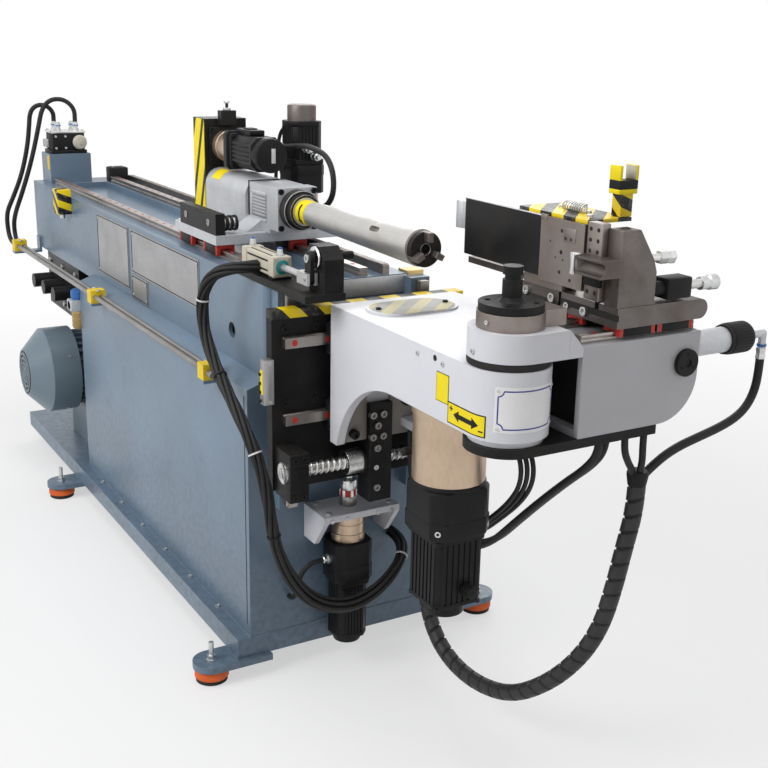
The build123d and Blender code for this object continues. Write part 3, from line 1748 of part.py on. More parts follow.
# Collet barrel: spindle through the housing, tapered nose, bore for the tube
with BuildPart() as collet_barrel:
    spindle_rear = pulley_span[0]
    cone_rear = barrel_root + barrel_collar_length
    bar_x((spindle_rear, barrel_root), tube_y, tube_z, spindle_tube_radius)
    bar_x(pulley_span, tube_y, tube_z, pulley_radius)
    bar_x((barrel_root, cone_rear), tube_y, tube_z, barrel_collar_radius)
    with BuildSketch(Plane.YZ.offset(cone_rear)):
        with Locations((tube_y, tube_z)):
            Circle(barrel_collar_radius)
    with BuildSketch(Plane.YZ.offset(barrel_end)):
        with Locations((tube_y, tube_z)):
            Circle(barrel_end_radius)
    loft()
    slot_normal = (0, -cos(radians(barrel_slot_angle)), sin(radians(barrel_slot_angle)))
    slot_floor = Plane(origin=(barrel_slot_x, tube_y, tube_z), x_dir=(1, 0, 0), z_dir=slot_normal)
    with BuildSketch(slot_floor.offset(barrel_end_radius / 2)):
        SlotOverall(barrel_slot_length, barrel_slot_width)
    extrude(amount=barrel_end_radius, mode=Mode.SUBTRACT)
    bar_x((barrel_end - barrel_bore_depth, barrel_end), tube_y, tube_z, tube_radius + tube_clearance, Mode.SUBTRACT)
write(collet_barrel, "collet_barrel")

# Chuck with three jaws that slide in radial slots
jaw_angles = [90 + index * 360 / jaw_count for index in range(jaw_count)]
jaw_back = chuck_face - jaw_seat
with BuildPart() as chuck_body:
    bar_x((barrel_end, chuck_face), tube_y, tube_z, chuck_radius)
    bar_x((barrel_end, chuck_face), tube_y, tube_z, chuck_bore_radius, Mode.SUBTRACT)
    with BuildSketch(Plane(origin=(jaw_back, tube_y, tube_z), x_dir=(0, 1, 0), z_dir=(1, 0, 0))):
        for angle in jaw_angles:
            with Locations(Rotation(0, 0, angle)):
                with Locations((chuck_radius / 2, 0)):
                    Rectangle(chuck_radius + 2, jaw_width + 2 * seat_gap)
    extrude(amount=jaw_seat, mode=Mode.SUBTRACT)
write(chuck_body, "chuck_body")

jaw_plane = Plane(origin=(jaw_back + seat_gap, tube_y, tube_z), x_dir=(0, 1, 0), z_dir=(1, 0, 0))
for index, angle in enumerate(jaw_angles):
    with BuildPart() as jaw:
        with BuildSketch(jaw_plane):
            with Locations(Rotation(0, 0, angle)):
                with Locations(((jaw_inner + jaw_outer) / 2, 0)):
                    Rectangle(jaw_outer - jaw_inner, jaw_width)
        extrude(amount=jaw_length)
    write(jaw, f"jaw_{index + 1}")

# Wrapped bundle from the arm to the head: each turn of the wrap is a shallow rib
bundle_points = [
    (721, 216, 655),
    (721, 216, 600),
    (719, 199, 525),
    (714, 187, 445),
    (701, 173, 350),
    (669, 150, 266),
    (613, 118, 188),
    (519, 96, 114),
    (412, 82, 88),
    (308, 77, 94),
    (232, 75, 136),
    (192, 74, 215),
    (184, 73, 320),
    (185, 71, 440),
    (187, 70, 545),
    (187, 70, cable_shoe_bottom),
]
return_points = [
    (735, 100, lower_plate_bottom),
    (735, 100, 742),
    (700, 100, 700),
    (640, 101, 650),
    (560, 103, 578),
    (480, 105, 502),
    (406, 107, 430),
    (330, 109, 384),
    (260, 111, 392),
    (208, 112, 450),
    (187, 112, 540),
    (187, 112, cable_shoe_bottom),
]
return_spacing = (-10.0, 24.0, 0.0)
head_cable_points = [
    (540, 22, head_bottom),
    (540, 22, 766),
    (568, 22, 730),
    (604, 22, 696),
    (604, 22, 646),
    (566, 22, 594),
    (510, 22, 542),
    (440, 22, 482),
    (360, 22, 448),
    (280, 22, 450),
    (214, 22, 492),
    (187, 22, 560),
    (187, 22, cable_shoe_bottom),
]
head_cable_spacing = (4.0, 12.0, 0.0)
head_cable_count = 3
with BuildPart() as head_hoses:
    bundle_radii = route_radii(bundle_points)
    print("spiral_bundle radii", [round(value) for value in bundle_radii], "diameter", 2 * bundle_radius)
    with BuildLine() as bundle_line:
        FilletPolyline(*bundle_points, radius=bundle_radii)
    bundle_wire = bundle_line.wire()
    turns = round(bundle_wire.length / bundle_turn_length)
    stations = [(index + part) / turns for index in range(turns) for part in (0.0, 0.06, 0.94, 1.0)]
    sizes = [bundle_waist_radius, bundle_radius, bundle_radius, bundle_waist_radius] * turns
    previous = -1.0
    for station, size in zip(stations, sizes):
        if station - previous > 1e-6:
            with BuildSketch(
                Plane(origin=bundle_wire @ station, x_dir=(0, 1, 0), z_dir=bundle_wire % station)
            ):
                Circle(size)
            previous = station
    loft(ruled=True)
    print("spiral_bundle length", round(bundle_wire.length), "turns", turns)
    for index in range(2):
        shift = Vector(return_spacing) * index
        ends = [Vector(0, shift.Y, 0)] * 2
        middle = [shift] * (len(return_points) - 4)
        route = [Vector(point) + step for point, step in zip(return_points, [shift] * 2 + middle + ends)]
        hose(f"return_hose_{index + 1}", route, return_hose_radius)
    for index in range(head_cable_count):
        shift = Vector(head_cable_spacing) * index
        route = [Vector(point) + shift for point in head_cable_points]
        hose(f"head_cable_{index + 1}", route, head_cable_radius)
write(head_hoses, "head_hoses")

# Hoses on the arm: the clamp hose, and two drops that join it in the bundle
clamp_hose_points = [
    (clamp_cylinder_x, elbow_y, ferrule_top - ferrule_length),
    (clamp_cylinder_x, elbow_y, 818),
    (693, 541, 780),
    (698, 507, 751),
    (704, 462, 737),
    (708, 416, 730),
    (712, 366, 722),
    (715, 310, 711),
    (718, 262, 693),
    (721, 226, 669),
]
left_drop_points = [(738, 160, 770), (738, 160, 742), (732, 178, 712), (724, 198, 690), (719, 209, 666)]
right_drop_points = [(740, 205, 770), (740, 205, 742), (736, 211, 712), (730, 213, 686), (726, 214, 664)]
boot_bottom = bundle_points[0][2]
with BuildPart() as arm_hoses:
    with Locations((bundle_points[0][0], bundle_points[0][1], boot_bottom)):
        Cone(bundle_radius, boot_radius, boot_height, align=(Align.CENTER, Align.CENTER, Align.MIN))
    hose("clamp_hose", clamp_hose_points, clamp_hose_radius)
    hose("left_drop", left_drop_points, drop_hose_radius)
    hose("right_drop", right_drop_points, drop_hose_radius)
write(arm_hoses, "arm_hoses")

# Hoses and cables on the frame: air bundle, cable of the lift motor, two rear hoses to the pipes
air_bundle_points = [
    (-60, air_y - air_body / 2, 985),
    (-60, -266, 985),
    (-80, -302, 980),
    (-112, -324, 962),
    (-140, -334, 922),
    (-148, -336, 872),
    (-130, -336, 818),
    (-82, -336, 770),
    (-20, -336, 728),
    (40, -335, 690),
    (92, -328, 640),
    (126, -316, 578),
    (139, -306, 510),
    (139, -297, 435),
    (135, -279, 368),
    (134, -250, 302),
    (134, -206, 244),
    (134, -150, 210),
    (134, -88, 200),
    (132, -26, 218),
    (120, 30, 252),
    (90, 74, 285),
    (40, 90, 300),
    (0, 90, 300),
]
motor_cable_points = [
    (lift_x, lift_y - lift_adaptor_size / 2, 290),
    (lift_x, -140, 290),
    (48, -168, 264),
    (42, -182, 222),
    (30, -190, 188),
    (0, -190, 188),
]
valve_middle_x = valve_rear + valve_length / 2
valve_middle_y = valve_left + valve_width / 2
port_top = riser_top + valve_height + valve_port_height
near_port = (valve_middle_x + valve_length / 4, valve_middle_y + valve_width / 4)
far_port = (valve_middle_x - valve_length / 4, valve_middle_y - valve_width / 4)
near_hose_points = [
    (*near_port, port_top),
    (*near_port, 1192),
    (-1920, -126, 1226),
    (-1932, -160, 1241),
    (-1942, -192, 1226),
    (-1948, -214, 1182),
    (-1950, -232, 1110),
    (-1954, -262, 1000),
    (-1972, -296, 896),
    (-2014, -310, 824),
    (-2052, pipe_ys[1], 774),
    (-2038, pipe_ys[1], pipe_z),
    (pipe_rear, pipe_ys[1], pipe_z),
]
far_hose_points = [
    (*far_port, port_top),
    (*far_port, 1184),
    (-1966, -190, 1204),
    (-1974, -214, 1190),
    (-1980, -230, 1140),
    (-1984, -250, 1070),
    (-1990, -282, 980),
    (-2008, -318, 884),
    (-2046, -336, 820),
    (-2078, -332, 770),
    (-2046, pipe_ys[0], pipe_z),
    (pipe_rear, pipe_ys[0], pipe_z),
]
with BuildPart() as base_hoses:
    hose("air_bundle", air_bundle_points, air_bundle_radius)
    hose("motor_cable", motor_cable_points, motor_cable_radius)
    hose("near_hose", near_hose_points, rear_hose_radius)
    hose("far_hose", far_hose_points, rear_hose_radius)
write(base_hoses, "base_hoses")

# Servo cables on the carriage
servo_right = tube_y + rotary_body_size / 2
servo_cable_points = [
    (-480, servo_right, 1200),
    (-480, 30, 1200),
    (-440, 33, 1206),
    (-380, 31, 1212),
    (-312, 29, 1209),
    (-252, 27, 1190),
    (-208, 26, 1156),
    (-194, 26, 1116),
    (-222, 26, 1084),
    (-272, 28, 1074),
    (-338, 33, 1070),
    (-400, 40, 1068),
    (-450, 44, 1046),
    (-450, 44, deck_top),
]
feed_cable_points = [
    (feed_servo_x - feed_servo_body_size / 2, 92, 1240),
    (-606, 92, 1240),
    (-624, 88, 1206),
    (-624, 80, 1146),
    (-612, 68, 1090),
    (-586, 52, 1050),
    (-586, 52, deck_top),
]
with BuildPart() as carriage_cables:
    hose("servo_cable", servo_cable_points, servo_cable_radius)
    hose("feed_cable", feed_cable_points, head_cable_radius)
write(carriage_cables, "carriage_cables")
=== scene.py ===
import math
import bmesh
import bpy
from mathutils import Matrix, Vector


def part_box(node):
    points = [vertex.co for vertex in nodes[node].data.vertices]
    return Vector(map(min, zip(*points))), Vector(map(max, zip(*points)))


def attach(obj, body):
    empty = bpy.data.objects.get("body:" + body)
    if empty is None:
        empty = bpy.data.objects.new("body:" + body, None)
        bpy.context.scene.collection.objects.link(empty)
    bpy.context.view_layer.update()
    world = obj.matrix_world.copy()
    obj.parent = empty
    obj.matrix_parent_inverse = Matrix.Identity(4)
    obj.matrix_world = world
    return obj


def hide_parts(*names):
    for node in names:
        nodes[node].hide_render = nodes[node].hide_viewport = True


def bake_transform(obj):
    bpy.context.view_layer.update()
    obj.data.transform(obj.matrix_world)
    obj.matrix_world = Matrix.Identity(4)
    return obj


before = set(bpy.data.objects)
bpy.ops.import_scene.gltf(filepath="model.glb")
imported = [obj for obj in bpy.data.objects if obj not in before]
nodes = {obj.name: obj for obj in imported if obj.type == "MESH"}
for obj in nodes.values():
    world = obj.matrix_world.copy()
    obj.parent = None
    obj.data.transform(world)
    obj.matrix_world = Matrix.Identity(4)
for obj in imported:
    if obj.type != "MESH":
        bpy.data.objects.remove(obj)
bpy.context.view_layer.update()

# Places are given in millimetres from the beam's front face, the skid's centre line and the floor
mm = 0.001
skidLow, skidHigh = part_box("base_skid")
origin = Vector((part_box("beam")[1].x, (skidLow.y + skidHigh.y) / 2, 0))
alongX = Vector((1, 0, 0))
alongY = Vector((0, 1, 0))
alongZ = Vector((0, 0, 1))
fullTurn = 2 * math.pi
sharpAngle = math.radians(35)  # edges past this are shaded as creases
bevelAngle = 0.6  # edges past this take a bevel, in radians


def at(x, y, z):
    return origin + Vector((x, y, z)) * mm


# Node trees, for materials and for patterns
def plugIn(tree, made, inputs):
    for key, value in inputs.items():
        value = value.socket if isinstance(value, Wire) else value
        if isinstance(value, bpy.types.NodeSocket):
            tree.links.new(value, made.inputs[key])
        else:
            made.inputs[key].default_value = value


def grow(tree, kind, settings, inputs):
    made = tree.nodes.new(kind)
    for key, value in settings.items():
        setattr(made, key, value)
    plugIn(tree, made, inputs)
    return made


class Wire:
    def __init__(self, finish, socket):
        self.finish = finish
        self.socket = socket

    def calc(self, operation, first, second):
        return self.finish.node("ShaderNodeMath", {"operation": operation}, {0: first, 1: second})

    def __add__(self, other):
        return self.calc("ADD", self, other)

    def __radd__(self, other):
        return self.calc("ADD", other, self)

    def __sub__(self, other):
        return self.calc("SUBTRACT", self, other)

    def __rsub__(self, other):
        return self.calc("SUBTRACT", other, self)

    def __mul__(self, other):
        return self.calc("MULTIPLY", self, other)

    def __rmul__(self, other):
        return self.calc("MULTIPLY", other, self)

    def __gt__(self, other):
        return self.calc("GREATER_THAN", self, other)

    def __mod__(self, other):
        return self.calc("FLOORED_MODULO", self, other)


class Finish:
    def __init__(self, name):
        self.material = bpy.data.materials.new(name)
        self.material.use_nodes = True
        self.tree = self.material.node_tree
        self.shader = self.tree.nodes["Principled BSDF"]
        self.place = self.node("ShaderNodeTexCoord", {}, {}, "Object")

    def node(self, kind, settings, inputs, output=0):
        return Wire(self, grow(self.tree, kind, settings, inputs).outputs[output])

    def feed(self, inputs):
        plugIn(self.tree, self.shader, inputs)

    def noise(self, scale, detail=4.0, stretch=(1, 1, 1)):
        spread = self.node("ShaderNodeVectorMath", {"operation": "MULTIPLY"}, {0: self.place, 1: stretch})
        return self.node("ShaderNodeTexNoise", {}, {"Vector": spread, "Scale": scale, "Detail": detail})

    def dot(self, first, second):
        return self.node("ShaderNodeVectorMath", {"operation": "DOT_PRODUCT"}, {0: first, 1: second}, "Value")

    def ramp(self, value, low, high):
        return self.node("ShaderNodeMapRange", {}, {"Value": value, "From Min": low, "From Max": high})

    def mix(self, factor, first, second):
        ends = [end if isinstance(end, Wire) else (*end, 1) for end in (first, second)]
        return self.node("ShaderNodeMix", {"data_type": "RGBA"}, {0: factor, 6: ends[0], 7: ends[1]}, 2)

    def height(self):
        return self.node("ShaderNodeSeparateXYZ", {}, {0: self.place}, "Z")

    # The rounded normal, and how far a spot is worn because an edge is near
    def edges(self, radius):
        soft = self.node("ShaderNodeBevel", {"samples": 3}, {"Radius": radius * mm})
        flat = self.node("ShaderNodeNewGeometry", {}, {}, "Normal")
        return soft, self.ramp(self.dot(soft, flat), 0.985, 0.8)

    def bump(self, relief, strength, depth, normal):
        sockets = {"Strength": strength, "Distance": depth * mm, "Height": relief, "Normal": normal}
        return self.node("ShaderNodeBump", {}, sockets)


# Finishes
def toned(colour, share, lift=0.0):
    return [min(1.0, share * part + lift) for part in colour]


def paint(name, colour, shade, edge, rough, dirtTop=0.0, shine=0.4):
    made = Finish(name)
    soft, rim = made.edges(2.5)
    cloud = made.ramp(made.noise(2.6, 5.0), 0.35, 0.68)
    grain = made.noise(55.0, 3.0)
    scuffs = made.ramp(made.noise(9.0, 8.0), 0.62, 0.75)
    base = made.mix(cloud, colour, shade)
    base = made.mix(scuffs * 0.25, base, shade)
    if dirtTop:
        dust = made.ramp(made.height(), dirtTop, 0.0) * made.ramp(grain, 0.35, 0.7)
        base = made.mix(dust * 0.7, base, toned(shade, 0.55))
    base = made.mix(rim * grain, base, edge)
    peel = made.bump(made.noise(420.0, 2.0), 0.08, 0.4, soft)
    gloss = made.ramp(grain, 0.2, 0.9) * 0.12 + rough + scuffs * 0.1
    made.feed({"Base Color": base, "Roughness": gloss, "Normal": peel})
    made.feed({"Coat Weight": 0.3 * shine, "Coat Roughness": 0.2, "Specular IOR Level": shine})
    return made.material


def metal(name, colour, stain, rough, brush=(1, 1, 1), wear=1.35, metallic=1.0, radius=1.0, shine=0.5):
    made = Finish(name)
    soft, rim = made.edges(radius)
    lines = made.noise(90.0, 6.0, brush)
    patches = made.ramp(made.noise(14.0, 6.0), 0.42, 0.7)
    base = made.mix(patches * 0.75, colour, stain)
    base = made.mix(made.ramp(lines, 0.3, 0.75) * 0.35, base, toned(colour, 0.72))
    base = made.mix(rim * 0.75, base, toned(colour, wear))
    relief = made.bump(lines, 0.12, 0.25, soft)
    gloss = made.ramp(lines, 0.25, 0.8) * 0.14 + patches * 0.1 + rough
    made.feed({"Base Color": base, "Roughness": gloss, "Normal": relief})
    made.feed({"Metallic": metallic, "Specular IOR Level": shine})
    return made.material


def moulded(name, colour, shade, rough, grainScale=300.0, depth=0.2, clear=0.0, shine=0.5):
    made = Finish(name)
    soft, rim = made.edges(0.8)
    cloud = made.ramp(made.noise(22.0, 5.0), 0.35, 0.7)
    grain = made.noise(grainScale, 3.0)
    base = made.mix(cloud * 0.6 + grain * 0.2, colour, shade)
    base = made.mix(rim * 0.35, base, toned(colour, 1.5, 0.02))
    relief = made.bump(grain, 0.25, depth, soft)
    made.feed({"Base Color": base, "Roughness": grain * 0.15 + cloud * 0.08 + rough, "Normal": relief})
    made.feed({"Transmission Weight": clear, "Specular IOR Level": shine})
    return made.material


def striped(name, bright, dark, direction, pitch, rough=0.35, faded=0.0):
    made = Finish(name)
    soft, rim = made.edges(0.8)
    worn = made.ramp(made.noise(70.0, 6.0), 0.5, 0.72)
    stripe = (made.dot(made.place, direction) % pitch) > 0.5 * pitch
    base = made.mix(stripe, bright, dark)
    base = made.mix(worn * 0.2 + faded, base, (0.55, 0.52, 0.42))
    base = made.mix(rim * 0.4, base, (0.3, 0.28, 0.22))
    relief = made.bump(worn, 0.2, 0.2, soft)
    made.feed({"Base Color": base, "Roughness": worn * 0.2 + rough, "Normal": relief})
    made.feed({"Specular IOR Level": 0.25})
    return made.material


# Paints: colour, shade, worn edge, roughness
dull = 0.16  # how much the black finishes mirror
frameBlue = paint(
    "frameBlue", (0.155, 0.228, 0.315), (0.125, 0.178, 0.24), (0.27, 0.35, 0.44), 0.3, dirtTop=0.5)
headGrey = paint("headGrey", (0.74, 0.75, 0.80), (0.66, 0.66, 0.69), (0.8, 0.8, 0.83), 0.32)
pumpGrey = paint("pumpGrey", (0.17, 0.235, 0.28), (0.14, 0.185, 0.22), (0.3, 0.36, 0.41), 0.34)
# The arm's paint is headGrey made darker to stand for the shade on the arm's box: painted shade
armShadeGrey = paint("armShadeGrey", (0.5, 0.5, 0.53), (0.43, 0.43, 0.45), (0.66, 0.66, 0.68), 0.34)
# A dark brownish grey for plates on the head's rear wall, which paint the shade there
wallShadeGrey = paint("wallShadeGrey", (0.33, 0.31, 0.29), (0.25, 0.23, 0.21), (0.45, 0.43, 0.4), 0.4, shine=0.3)
blackPaint = paint(
    "blackPaint", (0.010, 0.010, 0.011), (0.02, 0.019, 0.018), (0.1, 0.1, 0.1), 0.36, shine=dull)

# Metals: colour, stain, roughness, stretch of the brush lines, brightness of worn edges,
# then metallic and the edges' radius where they differ
brownSteel = metal("brownSteel", (0.28, 0.245, 0.228), (0.18, 0.145, 0.125), 0.36, (1, 1, 14), 2.0)
darkSteel = metal("darkSteel", (0.155, 0.137, 0.13), (0.09, 0.072, 0.062), 0.38, (1, 1, 14), 2.6, 0.9)
groundSteel = metal("groundSteel", (0.38, 0.35, 0.33), (0.2, 0.17, 0.15), 0.26, (0.15, 6, 6), 1.5)
barrelSteel = metal("barrelSteel", (0.6, 0.59, 0.575), (0.5, 0.47, 0.43), 0.36, (0.2, 5, 5), 1.2, 0.85)
brightSteel = metal("brightSteel", (0.72, 0.72, 0.71), (0.55, 0.53, 0.5), 0.2, (3, 3, 3), 1.2, radius=0.6)
pipeSteel = metal("pipeSteel", (0.34, 0.33, 0.32), (0.24, 0.22, 0.2), 0.3, (0.3, 3, 3), 1.4, 0.9)
zinc = metal("zinc", (0.62, 0.63, 0.63), (0.48, 0.47, 0.44), 0.28, (2, 2, 2), 1.3, radius=0.6)
brass = metal("brass", (0.62, 0.46, 0.2), (0.45, 0.3, 0.12), 0.34, (2, 2, 2), 1.3, 0.8)
castAlloy = metal("castAlloy", (0.60, 0.615, 0.64), (0.5, 0.51, 0.53), 0.42, (1, 1, 1), 1.25, 0.55, 2.0)
plateSilver = metal("plateSilver", (0.4, 0.4, 0.41), (0.34, 0.34, 0.35), 0.3, (0.3, 1, 12), 1.2, 0.9)
gearGold = metal("gearGold", (0.56, 0.43, 0.315), (0.48, 0.36, 0.26), 0.27, (1.6, 1.6, 0.6), 1.35, 0.9)
blackOxide = metal(
    "blackOxide", (0.014, 0.014, 0.015), (0.03, 0.027, 0.024), 0.36, (1, 1, 4), 7.0, 0.3, shine=dull)
wornBlack = metal(
    "wornBlack", (0.022, 0.021, 0.02), (0.07, 0.062, 0.055), 0.4, (1, 5, 5), 6.0, 0.3, shine=dull)

# Plastics and rubber: colour, shade, roughness, then the grain's scale and depth where they differ
servoBlack = moulded("servoBlack", (0.008, 0.008, 0.009), (0.015, 0.015, 0.016), 0.32, 260.0, shine=dull)
blackPlastic = moulded("blackPlastic", (0.011, 0.011, 0.012), (0.02, 0.02, 0.02), 0.42, shine=dull)
rubber = moulded("rubber", (0.022, 0.021, 0.02), (0.045, 0.043, 0.04), 0.62, 180.0, shine=dull)
hoseBlack = moulded("hoseBlack", (0.012, 0.012, 0.013), (0.028, 0.027, 0.026), 0.42, 500.0, shine=0.25)
wrapBlack = moulded("wrapBlack", (0.026, 0.026, 0.028), (0.045, 0.044, 0.043), 0.36, shine=0.3)
orangeCap = moulded("orangeCap", (0.78, 0.13, 0.012), (0.62, 0.09, 0.01), 0.4, 200.0)
redSeal = moulded("redSeal", (0.62, 0.03, 0.02), (0.46, 0.025, 0.018), 0.4)
yellowPlastic = moulded("yellowPlastic", (0.86, 0.62, 0.012), (0.74, 0.52, 0.012), 0.38)
labelYellow = moulded("labelYellow", (0.94, 0.76, 0.006), (0.86, 0.68, 0.01), 0.35, 120.0, 0.05, shine=0.3)
whitePlastic = moulded("whitePlastic", (0.72, 0.72, 0.7), (0.6, 0.6, 0.57), 0.4)
plateWhite = moulded("plateWhite", (0.9, 0.89, 0.9), (0.82, 0.81, 0.82), 0.3)
plateBlue = moulded("plateBlue", (0.012, 0.03, 0.28), (0.012, 0.025, 0.2), 0.35)
bluePlastic = moulded("bluePlastic", (0.02, 0.16, 0.5), (0.02, 0.12, 0.38), 0.3)
tealSeal = moulded("tealSeal", (0.01, 0.3, 0.3), (0.01, 0.2, 0.22), 0.35)
beigeAlloy = moulded("beigeAlloy", (0.58, 0.54, 0.44), (0.5, 0.46, 0.37), 0.4, 220.0)
amberBowl = moulded("amberBowl", (0.6, 0.42, 0.14), (0.45, 0.3, 0.08), 0.18, 120.0, 0.05, clear=0.4)

# Stripes: the two colours, the direction across the stripes and their pitch in metres
hazardPair = ((0.85, 0.62, 0.006), (0.012, 0.012, 0.012))
fadedPair = ((0.7, 0.62, 0.3), (0.36, 0.36, 0.38))
topSlant = (0.7071, 0.7071, 0.0)
hazard = striped("hazard", *hazardPair, (0.0, 0.70710678, 0.70710678), 0.06)
hazardTop = striped("hazardTop", *hazardPair, topSlant, 0.05)
hazardFaded = striped("hazardFaded", *fadedPair, topSlant, 0.05, 0.45, 0.35)
hazardBox = striped("hazardBox", *hazardPair, (0.6, 0.3, 0.74), 0.034)
print("finishes made")


# Solids in bmesh, in machine millimetres, moved to their place and merged piece by piece
machine = Matrix.Translation(origin) @ Matrix.Scale(mm, 4)


def turnTo(axis):
    return alongZ.rotation_difference(Vector(axis)).to_matrix().to_4x4()


def boxSolid(xs, ys, zs):
    solid = bmesh.new()
    low = Vector([min(span) for span in (xs, ys, zs)])
    high = Vector([max(span) for span in (xs, ys, zs)])
    place = Matrix.Translation((low + high) / 2) @ Matrix.Diagonal((*(high - low), 1))
    bmesh.ops.create_cube(solid, size=1, matrix=place)
    return solid


# A profile is a list of (along, radius), and one that ends where it starts makes a ring
def turnedSolid(start, axis, profile, sides):
    solid = bmesh.new()
    place = Matrix.Translation(start) @ turnTo(axis)
    closed = profile[0] == profile[-1]
    rings = []
    for along, radius in profile[:-1] if closed else profile:
        angles = [fullTurn * step / sides for step in range(sides if radius else 1)]
        ring = [(radius * math.cos(turn), radius * math.sin(turn), along) for turn in angles]
        rings.append([solid.verts.new(place @ Vector(spot)) for spot in ring])
    for first, second in zip(rings, rings[1:] + rings[:1] if closed else rings[1:]):
        for step in range(sides):
            after = step + 1
            loop = [first[step % len(first)], first[after % len(first)]]
            loop += [second[after % len(second)], second[step % len(second)]]
            solid.faces.new(list(dict.fromkeys(loop)))
    for ring in () if closed else (rings[0], rings[-1]):
        if len(ring) > 1:
            solid.faces.new(ring)
    return solid


# A skin through rings of points, closed at both ends
def loftSolid(rings):
    solid = bmesh.new()
    rows = [[solid.verts.new(spot) for spot in ring] for ring in rings]
    for first, second in zip(rows, rows[1:]):
        for step in range(len(first)):
            after = (step + 1) % len(first)
            solid.faces.new([first[step], first[after], second[after], second[step]])
    solid.faces.new(rows[0])
    solid.faces.new(rows[-1])
    return solid


def prismSolid(outline, axis, span):
    return loftSolid([[(*spot[:axis], level, *spot[axis:]) for spot in outline] for level in span])


# A thin plate on a wall: stations give its lower and upper edge along the wall's own path
def ribbonSolid(wall, stations, depth, axis):
    inner, outer = depth
    rings = []
    for along, low, high in stations:
        spot, facing = wall(along)
        corners = [(inner, low), (outer, low), (outer, high), (inner, high)]
        flats = [(spot + facing * out, level) for out, level in corners]
        rings.append([(*flat[:axis], level, *flat[axis:]) for flat, level in flats])
    return loftSolid(rings)


def evenly(low, high, step):
    count = max(1, math.ceil((high - low) / step))
    return [low + (high - low) * index / count for index in range(count + 1)]


def spaced(low, high, pitch):
    count = int((high - low) // pitch)
    first = (low + high - (count - 1) * pitch) / 2
    return [first + index * pitch for index in range(count)]


def octagon(half, corner):
    inner = half - corner
    near = [(inner, half), (half, inner), (half, -inner), (inner, -half)]
    return near + [(-x, -y) for x, y in near]


def band(inner, outer, low, high):
    return [(low, inner), (low, outer), (high, outer), (high, inner), (low, inner)]


# Points of an arc in a plane, between two angles in degrees
def arc(middle, radius, start, end, steps):
    turns = [math.radians(start + (end - start) * step / steps) for step in range(steps + 1)]
    return [(middle[0] + radius * math.cos(turn), middle[1] + radius * math.sin(turn)) for turn in turns]


# Directions evenly round an axis, the first at an angle in radians
def rays(count, first, second, start=0.0):
    turns = [start + fullTurn * step / count for step in range(count)]
    return [first * math.cos(turn) + second * math.sin(turn) for turn in turns]


def spots(xs, ys, zs):
    return [(x, y, z) for x in xs for y in ys for z in zs]


class Shape:
    def __init__(self, name, place=machine):
        self.name = name
        self.place = place
        self.mesh = bmesh.new()
        self.finishes = []

    def take(self, solid, finish, bevel=0.0):
        bmesh.ops.recalc_face_normals(solid, faces=solid.faces)
        if bevel:
            sharp = [edge for edge in solid.edges if edge.calc_face_angle(0) > bevelAngle]
            sizes = {"offset": bevel * mm, "segments": 2, "profile": 0.5}
            bmesh.ops.bevel(solid, geom=sharp, affect="EDGES", clamp_overlap=True, **sizes)
        if finish not in self.finishes:
            self.finishes.append(finish)
        for face in solid.faces:
            face.material_index = self.finishes.index(finish)
            face.smooth = True
        scrap = bpy.data.meshes.new("scrap")
        solid.to_mesh(scrap)
        solid.free()
        self.mesh.from_mesh(scrap)
        bpy.data.meshes.remove(scrap)

    def add(self, solid, finish, bevel=0.0):
        solid.transform(self.place)
        self.take(solid, finish, bevel)

    def box(self, xs, ys, zs, finish, bevel=0.0):
        self.add(boxSolid(xs, ys, zs), finish, bevel)

    def turned(self, start, axis, profile, finish, sides=36, bevel=0.0):
        self.add(turnedSolid(start, axis, profile, sides), finish, bevel)

    def rod(self, start, axis, length, radius, finish, sides=28, bevel=0.0):
        self.turned(start, axis, [(0, radius), (length, radius)], finish, sides, bevel)

    def prism(self, outline, axis, span, finish, bevel=0.0):
        self.add(prismSolid(outline, axis, span), finish, bevel)

    def ribbon(self, wall, stations, depth, finish, axis=2):
        self.add(ribbonSolid(wall, stations, depth, axis), finish)

    def done(self, body, slot, *replaced):
        data = bpy.data.meshes.new(self.name)
        self.mesh.to_mesh(data)
        self.mesh.free()
        data.set_sharp_from_angle(angle=sharpAngle)
        for finish in self.finishes:
            data.materials.append(finish)
        return settle(bpy.data.objects.new(self.name, data), body, replaced)


def settle(piece, body, replaced=()):
    bpy.context.collection.objects.link(piece)
    if body:
        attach(piece, body)
    if replaced:
        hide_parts(*replaced)
    return piece


def plainMesh(item):
    return bpy.data.meshes.new_from_object(item.evaluated_get(bpy.context.evaluated_depsgraph_get()))


# Patterns by Geometry Nodes: screw heads and blocks on points, weld beads in a row, a screw's thread
def newTree(name, sockets):
    tree = bpy.data.node_groups.new(name, "GeometryNodeTree")
    for label, kind in (sockets | {"Finish": "Material"}).items():
        tree.interface.new_socket(label, in_out="INPUT", socket_type="NodeSocket" + kind)
    tree.interface.new_socket("Geometry", in_out="OUTPUT", socket_type="NodeSocketGeometry")
    return tree, tree.nodes.new("NodeGroupInput").outputs


def flow(tree, kind, inputs, **settings):
    return grow(tree, kind, settings, inputs).outputs[0]


def closeTree(tree, geometry, finish):
    real = flow(tree, "GeometryNodeRealizeInstances", {"Geometry": geometry})
    dressed = flow(tree, "GeometryNodeSetMaterial", {"Geometry": real, "Material": finish})
    grow(tree, "NodeGroupOutput", {}, {0: dressed})
    return tree


def scatter(tree, given, item, placing):
    spread = {"Points": given["Points"], "Instance": item} | placing
    return closeTree(tree, flow(tree, "GeometryNodeInstanceOnPoints", spread), given["Finish"])


def mark(tree, name, kind="FLOAT_VECTOR"):
    return flow(tree, "GeometryNodeInputNamedAttribute", {"Name": name}, data_type=kind)


def aligned(tree, inputs, **settings):
    return flow(tree, "FunctionNodeAlignRotationToVector", inputs, **settings)


